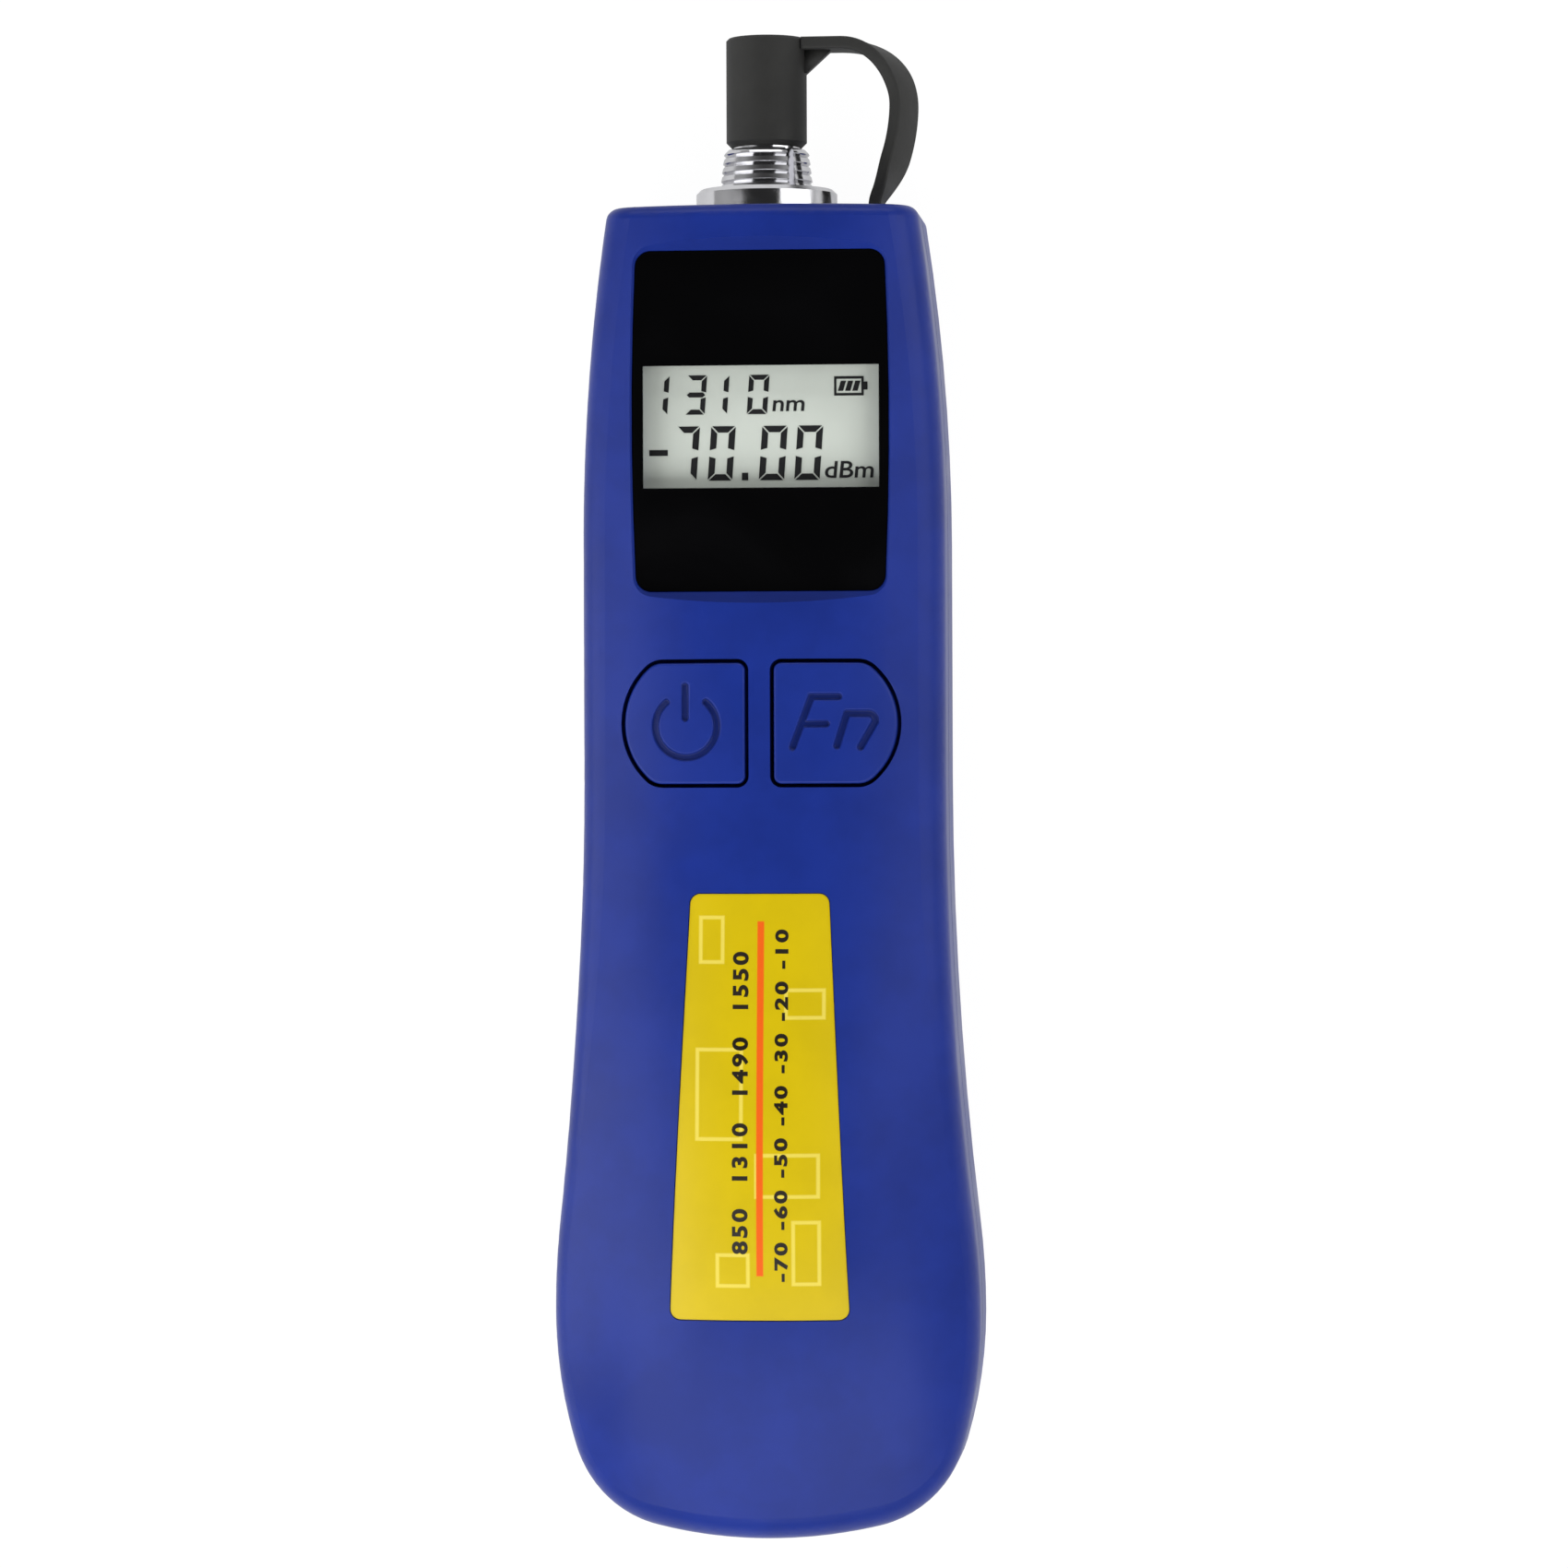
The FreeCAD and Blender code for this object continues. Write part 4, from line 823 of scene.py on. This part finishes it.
class METER_OT_cap(bpy.types.Operator):
    """Rubber cap and the strap that holds it"""
    bl_idname = "meter.cap"
    bl_label = "Cap and Strap"

    def execute(self, context):
        settings = context.scene.meter_strap
        rubber = plastic_finish("Cap Rubber", tuple(settings.colour), drift=0.15, roughness=0.62,
                                fineness=2200.0, relief=0.00005, strength=0.35, specular=0.25)
        wear(rubber, "dust_cap")
        cap_high = np.array(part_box("dust_cap")[1]) / MM
        strap_low, strap_high = (np.array(corner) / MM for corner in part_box("cap_strap"))
        start_x = cap_high[0] - STRAP_INSET
        start_y = cap_high[1] - STRAP_THICKNESS / 2
        axis_z = (strap_low[2] + strap_high[2]) / 2

        # the heading turns at each stretch's own rate; the path is the running sum of its steps
        angle = math.radians(STRAP_ANGLE)
        fall = start_y - STRAP_BOW - (STRAP_LOWER + STRAP_ROOT) * math.sin(angle) - strap_low[1]
        runs = ((STRAP_INSET + STRAP_RUN, 0.0), (STRAP_BOW * math.pi / 2, -90.0),
                (STRAP_LOWER * angle, -STRAP_ANGLE), (STRAP_ROOT * angle, STRAP_ANGLE), (fall, 0.0))
        step = 0.2
        lengths = np.array([length for length, turn in runs])
        rates = np.array([turn / length for length, turn in runs])
        along = np.arange(0, lengths.sum(), step)
        rate = rates[np.searchsorted(np.cumsum(lengths), along, side="right")]
        soft = np.hanning(13)
        rate = np.convolve(np.pad(rate, 6, mode="edge"), soft / soft.sum(), mode="valid")
        heading = np.radians(np.cumsum(rate) * step)
        middle = np.cumsum(np.column_stack([np.cos(heading), np.sin(heading)]) * step, axis=0)
        middle += (start_x, start_y)
        share = along / along[-1]
        lower_x = start_x + STRAP_INSET + STRAP_RUN + STRAP_BOW - STRAP_LOWER
        root_x = lower_x + (STRAP_LOWER + STRAP_ROOT) * math.cos(angle) - STRAP_ROOT
        middle += share[:, None] * (np.array([root_x, strap_low[1]]) - middle[-1])

        # section: a rounded rectangle, leaned over from the bow to the root, thick at the anchor
        rise, drop = (np.clip((share - start) / run, 0, 1) for start, run in ((0.15, 0.27), (0.68, 0.20)))
        lean = settings.tilt * (rise * rise * (3 - 2 * rise) - drop * drop * (3 - 2 * drop))
        half = np.where(middle[:, 1] < strap_low[1] + ANCHOR_LENGTH, ANCHOR_WIDTH, STRAP_THICKNESS) / 2
        corners = [arc_points((x, z), STRAP_EDGE, start, start + 90, 6)
                   for x, z, start in ((-1, 1, 90), (-1, -1, 180), (1, -1, 270), (1, 1, 0))]
        signs = np.array([(-1, 1), (-1, -1), (1, -1), (1, 1)]).repeat(6, axis=0)
        round_part = np.concatenate(corners) - signs
        out = half[:, None] * signs[:, 0] + round_part[:, 0] - STRAP_EDGE * signs[:, 0]
        up = STRAP_WIDTH / 2 * signs[:, 1] + round_part[:, 1] - STRAP_EDGE * signs[:, 1]
        up = np.broadcast_to(up, out.shape)
        across = out * np.cos(lean)[:, None] - up * np.sin(lean)[:, None]
        height = up * np.cos(lean)[:, None] + out * np.sin(lean)[:, None]
        outward = np.column_stack([-np.sin(heading), np.cos(heading)])
        plan = middle[:, None, :] + across[..., None] * outward[:, None, :]
        grid = np.dstack([plan, axis_z + height])
        band = closed_rings(grid, grid[0].mean(0), grid[-1].mean(0))
        web_x, web_y = cap_high[0] - GUSSET_OVERLAP, cap_high[1] - STRAP_THICKNESS + GUSSET_OVERLAP
        web = flat_plates([[(web_x, web_y), (web_x, web_y - GUSSET_SIZE - GUSSET_OVERLAP),
                            (web_x + GUSSET_SIZE + 2 * GUSSET_OVERLAP, web_y)]],
                          axis_z - GUSSET_WIDTH / 2, axis_z + GUSSET_WIDTH / 2)
        points, faces = join_meshes([band, web])
        strap = make_piece("strap_band", points, faces, None, rubber)
        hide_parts("cap_strap")
        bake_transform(strap)
        return {"FINISHED"}


# ---------------- inside

class METER_OT_inside(bpy.types.Operator):
    """Finishes of the pieces inside the housing"""
    bl_idname = "meter.inside"
    bl_label = "Inside"

    def execute(self, context):
        for name, colour, roughness, metallic, nodes in (
                ("White Moulding", (226, 226, 220), 0.45, 0.0,
                 ("display_holder", "power_plunger", "function_plunger", "detector_retainer")),
                ("Light Guide", (238, 240, 236), 0.2, 0.0, ("backlight_panel",)),
                ("Strip Rubber", (196, 150, 160), 0.6, 0.0, ("contact_strips",)),
                ("Chip Epoxy", (26, 26, 28), 0.5, 0.0, ("processor_chip", "amplifier_chip")),
                ("Switch Body", (40, 40, 42), 0.45, 0.0, ("power_switch", "function_switch")),
                ("Spring Plating", (196, 192, 182), 0.28, 1.0,
                 ("bridge_contact", "negative_contact", "positive_contact")),
                ("Screw Steel", (150, 150, 154), 0.32, 1.0, ("board_screws", "case_screws")),
                ("Detector Plating", (214, 178, 96), 0.24, 1.0, ("photodiode",))):
            wear(plastic_finish(name, screen_colour(*colour), roughness=roughness, metallic=metallic), *nodes)

        board, tree, shader, place = blank_finish("Board Laminate")
        weave = add_node(tree, "ShaderNodeTexBrick", {"Vector": place, "Scale": 260.0, "Mortar Size": 0.012})
        grain = placed(tree, "Moulded Grain", place, Fineness=2000.0)
        green = mixed(tree, grain["Tone"], screen_colour(12, 74, 40), screen_colour(18, 92, 52))
        tree.links.new(mixed(tree, weave.outputs["Fac"], green, screen_colour(30, 120, 70)),
                       shader.inputs["Base Color"])
        shader.inputs["Roughness"].default_value = 0.35
        roughened(tree, shader, weave.outputs["Fac"], 0.2, 0.00003)
        wear(board, "main_board")

        wrap, tree, shader, place = blank_finish("Cell Wrap")
        low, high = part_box("cell_left")
        along = add_node(tree, "ShaderNodeSeparateXYZ", {0: place}).outputs[1]
        band = between(tree, along, high.y - 0.0115, high.y - 0.0112)
        marks = placed(tree, "Handling Marks", place)
        colour = mixed(tree, band, screen_colour(40, 42, 46), screen_colour(190, 118, 52))
        tree.links.new(mixed(tree, marks["Scratch"], colour, screen_colour(150, 150, 150)),
                       shader.inputs["Base Color"])
        tree.links.new(between(tree, marks["Rub"], 0.0, 1.0, 0.28, 0.4), shader.inputs["Roughness"])
        wear(wrap, "cell_left", "cell_right")
        return {"FINISHED"}


# ---------------- stage

TABLE_REACH = 3.0           # metres from the origin to each side
TABLE_DROP = 0.0001         # so that the flat back and the table don't share a plane
TABLE_SHADE = 0.68
TABLE_GLOW = 1.06
GLOW_SHARE = 0.9            # the rest of the table's look is its shadowed surface
MIRROR_SHARE = 0.5          # how much of the glow shows in mirror-like reflections
LAMPS = (                   # place, aim, width and length in metres
    ("Left Light", (-0.45, -0.05, 0.23), (0, 0, 0.01), 0.3, 0.6, "left_power"),
    ("Right Light", (0.40, 0.12, 0.30), (0, 0.02, 0.01), 0.25, 0.5, "right_power"),
    ("Port Light", (0.0, 0.44, 0.20), (0, 0.06, 0.01), 0.5, 0.2, "port_power"),
    ("Palm Light", (0.0, -0.34, 0.38), (0, -0.06, 0.01), 1.3, 0.4, "palm_power"),
)
CAMERA_AIM = (0.0018, 0.0103, 0.013)
CAMERA_LENS = 134.76        # millimetres, with a sensor 36 wide


def add_softbox(name, place, aim, width, length, power):
    lamp = bpy.data.lights.new(name, "AREA")
    lamp.shape = "RECTANGLE"
    lamp.size, lamp.size_y = width, length
    lamp.energy = power
    holder = bpy.data.objects.new(name, lamp)
    bpy.context.scene.collection.objects.link(holder)
    holder.location = place
    holder.rotation_euler = (Vector(aim) - Vector(place)).to_track_quat("-Z", "Y").to_euler()


def seen_directly(tree):
    """1 for rays from the camera and through glass, half for mirror-like reflections."""
    path = add_node(tree, "ShaderNodeLightPath")
    mirror = calculate(tree, "MULTIPLY", path.outputs["Is Glossy Ray"], MIRROR_SHARE)
    sharp = calculate(tree, "MAXIMUM", mirror, path.outputs["Is Transmission Ray"])
    return calculate(tree, "MAXIMUM", path.outputs["Is Camera Ray"], sharp)


class METER_OT_stage(bpy.types.Operator):
    """White table, softboxes, even sky and the camera"""
    bl_idname = "meter.stage"
    bl_label = "Stage"

    def execute(self, context):
        settings = context.scene.meter_studio
        scene = context.scene
        mesh = bpy.data.meshes.new("table")
        corners = rectangle(-TABLE_REACH, -TABLE_REACH, TABLE_REACH, TABLE_REACH)
        mesh.from_pydata([(x, y, -TABLE_DROP) for x, y in corners], [], [(0, 1, 2, 3)])
        table = bpy.data.objects.new("table", mesh)
        scene.collection.objects.link(table)
        white = bpy.data.materials.new("Table White")
        white.use_nodes = True
        tree = white.node_tree
        tree.nodes.clear()
        diffuse = add_node(tree, "ShaderNodeBsdfDiffuse", {"Color": (TABLE_SHADE,) * 3 + (1,)})
        glow = add_node(tree, "ShaderNodeEmission", {"Color": (1, 1, 1, 1), "Strength": TABLE_GLOW})
        share = calculate(tree, "MULTIPLY", seen_directly(tree), GLOW_SHARE)
        blend = add_node(tree, "ShaderNodeMixShader", {0: share, 1: diffuse.outputs[0], 2: glow.outputs[0]})
        add_node(tree, "ShaderNodeOutputMaterial", {0: blend.outputs[0]})
        table.data.materials.append(white)

        world = bpy.data.worlds.new("Studio")
        scene.world = world
        world.use_nodes = True
        tree = world.node_tree
        back = next(node for node in tree.nodes if node.type == "BACKGROUND")
        back.inputs["Color"].default_value = (1, 1, 1, 1)
        rise = add_node(tree, "ShaderNodeSeparateXYZ",
                        {0: add_node(tree, "ShaderNodeTexCoord").outputs["Generated"]}).outputs[2]
        sky = between(tree, rise, 0.35, 0.95, settings.sky, settings.overhead)
        path = add_node(tree, "ShaderNodeLightPath").outputs
        clear = calculate(tree, "MAXIMUM", path["Is Camera Ray"], path["Is Transmission Ray"])
        tree.links.new(calculate(tree, "MAXIMUM", sky, clear), back.inputs["Strength"])

        for name, place, aim, width, length, power in LAMPS:
            add_softbox(name, place, aim, width, length, getattr(settings, power))

        data = bpy.data.cameras.new("Camera")
        data.lens = CAMERA_LENS
        data.sensor_width = 36.0
        camera = bpy.data.objects.new("Camera", data)
        scene.collection.objects.link(camera)
        aim = Vector(CAMERA_AIM)
        lean = settings.camera_lean
        camera.location = aim + Vector((math.sin(lean), 0, math.cos(lean))) * settings.camera_distance
        camera.rotation_euler = (0, lean, settings.camera_turn)
        scene.camera = camera
        scene.view_settings.view_transform = "Standard"
        return {"FINISHED"}


# ---------------- panel and registration

class METER_PT_panel(bpy.types.Panel):
    """The meter's settings and the steps that dress it"""
    bl_idname = "METER_PT_panel"
    bl_label = "Optical Power Meter"
    bl_space_type = "VIEW_3D"
    bl_region_type = "UI"
    bl_category = "Meter"

    def draw(self, context):
        for operator, setting in STEPS:
            box = self.layout.box()
            if setting:
                group = getattr(context.scene, setting)
                for name in group.__annotations__:
                    box.prop(group, name)
            box.operator(operator.bl_idname)


STEPS = (
    (METER_OT_housing, "meter_housing"),
    (METER_OT_window, "meter_window"),
    (METER_OT_display, "meter_display"),
    (METER_OT_keys, "meter_keys"),
    (METER_OT_label, "meter_label"),
    (METER_OT_port, None),
    (METER_OT_cap, "meter_strap"),
    (METER_OT_inside, None),
    (METER_OT_stage, "meter_studio"),
)
SETTINGS = {
    "meter_housing": HousingSettings,
    "meter_window": WindowSettings,
    "meter_display": DisplaySettings,
    "meter_keys": KeySettings,
    "meter_label": LabelSettings,
    "meter_strap": StrapSettings,
    "meter_studio": StudioSettings,
}


def register():
    for name, group in SETTINGS.items():
        bpy.utils.register_class(group)
        setattr(bpy.types.Scene, name, bpy.props.PointerProperty(type=group))
    for operator, setting in STEPS:
        bpy.utils.register_class(operator)
    bpy.utils.register_class(METER_PT_panel)


def unregister():
    bpy.utils.unregister_class(METER_PT_panel)
    for operator, setting in reversed(STEPS):
        bpy.utils.unregister_class(operator)
    for name, group in SETTINGS.items():
        delattr(bpy.types.Scene, name)
        bpy.utils.unregister_class(group)


def main():
    register()
    for operator, setting in STEPS:
        getattr(bpy.ops.meter, operator.bl_idname.split(".")[1])()


if __name__ == "__main__":
    main()
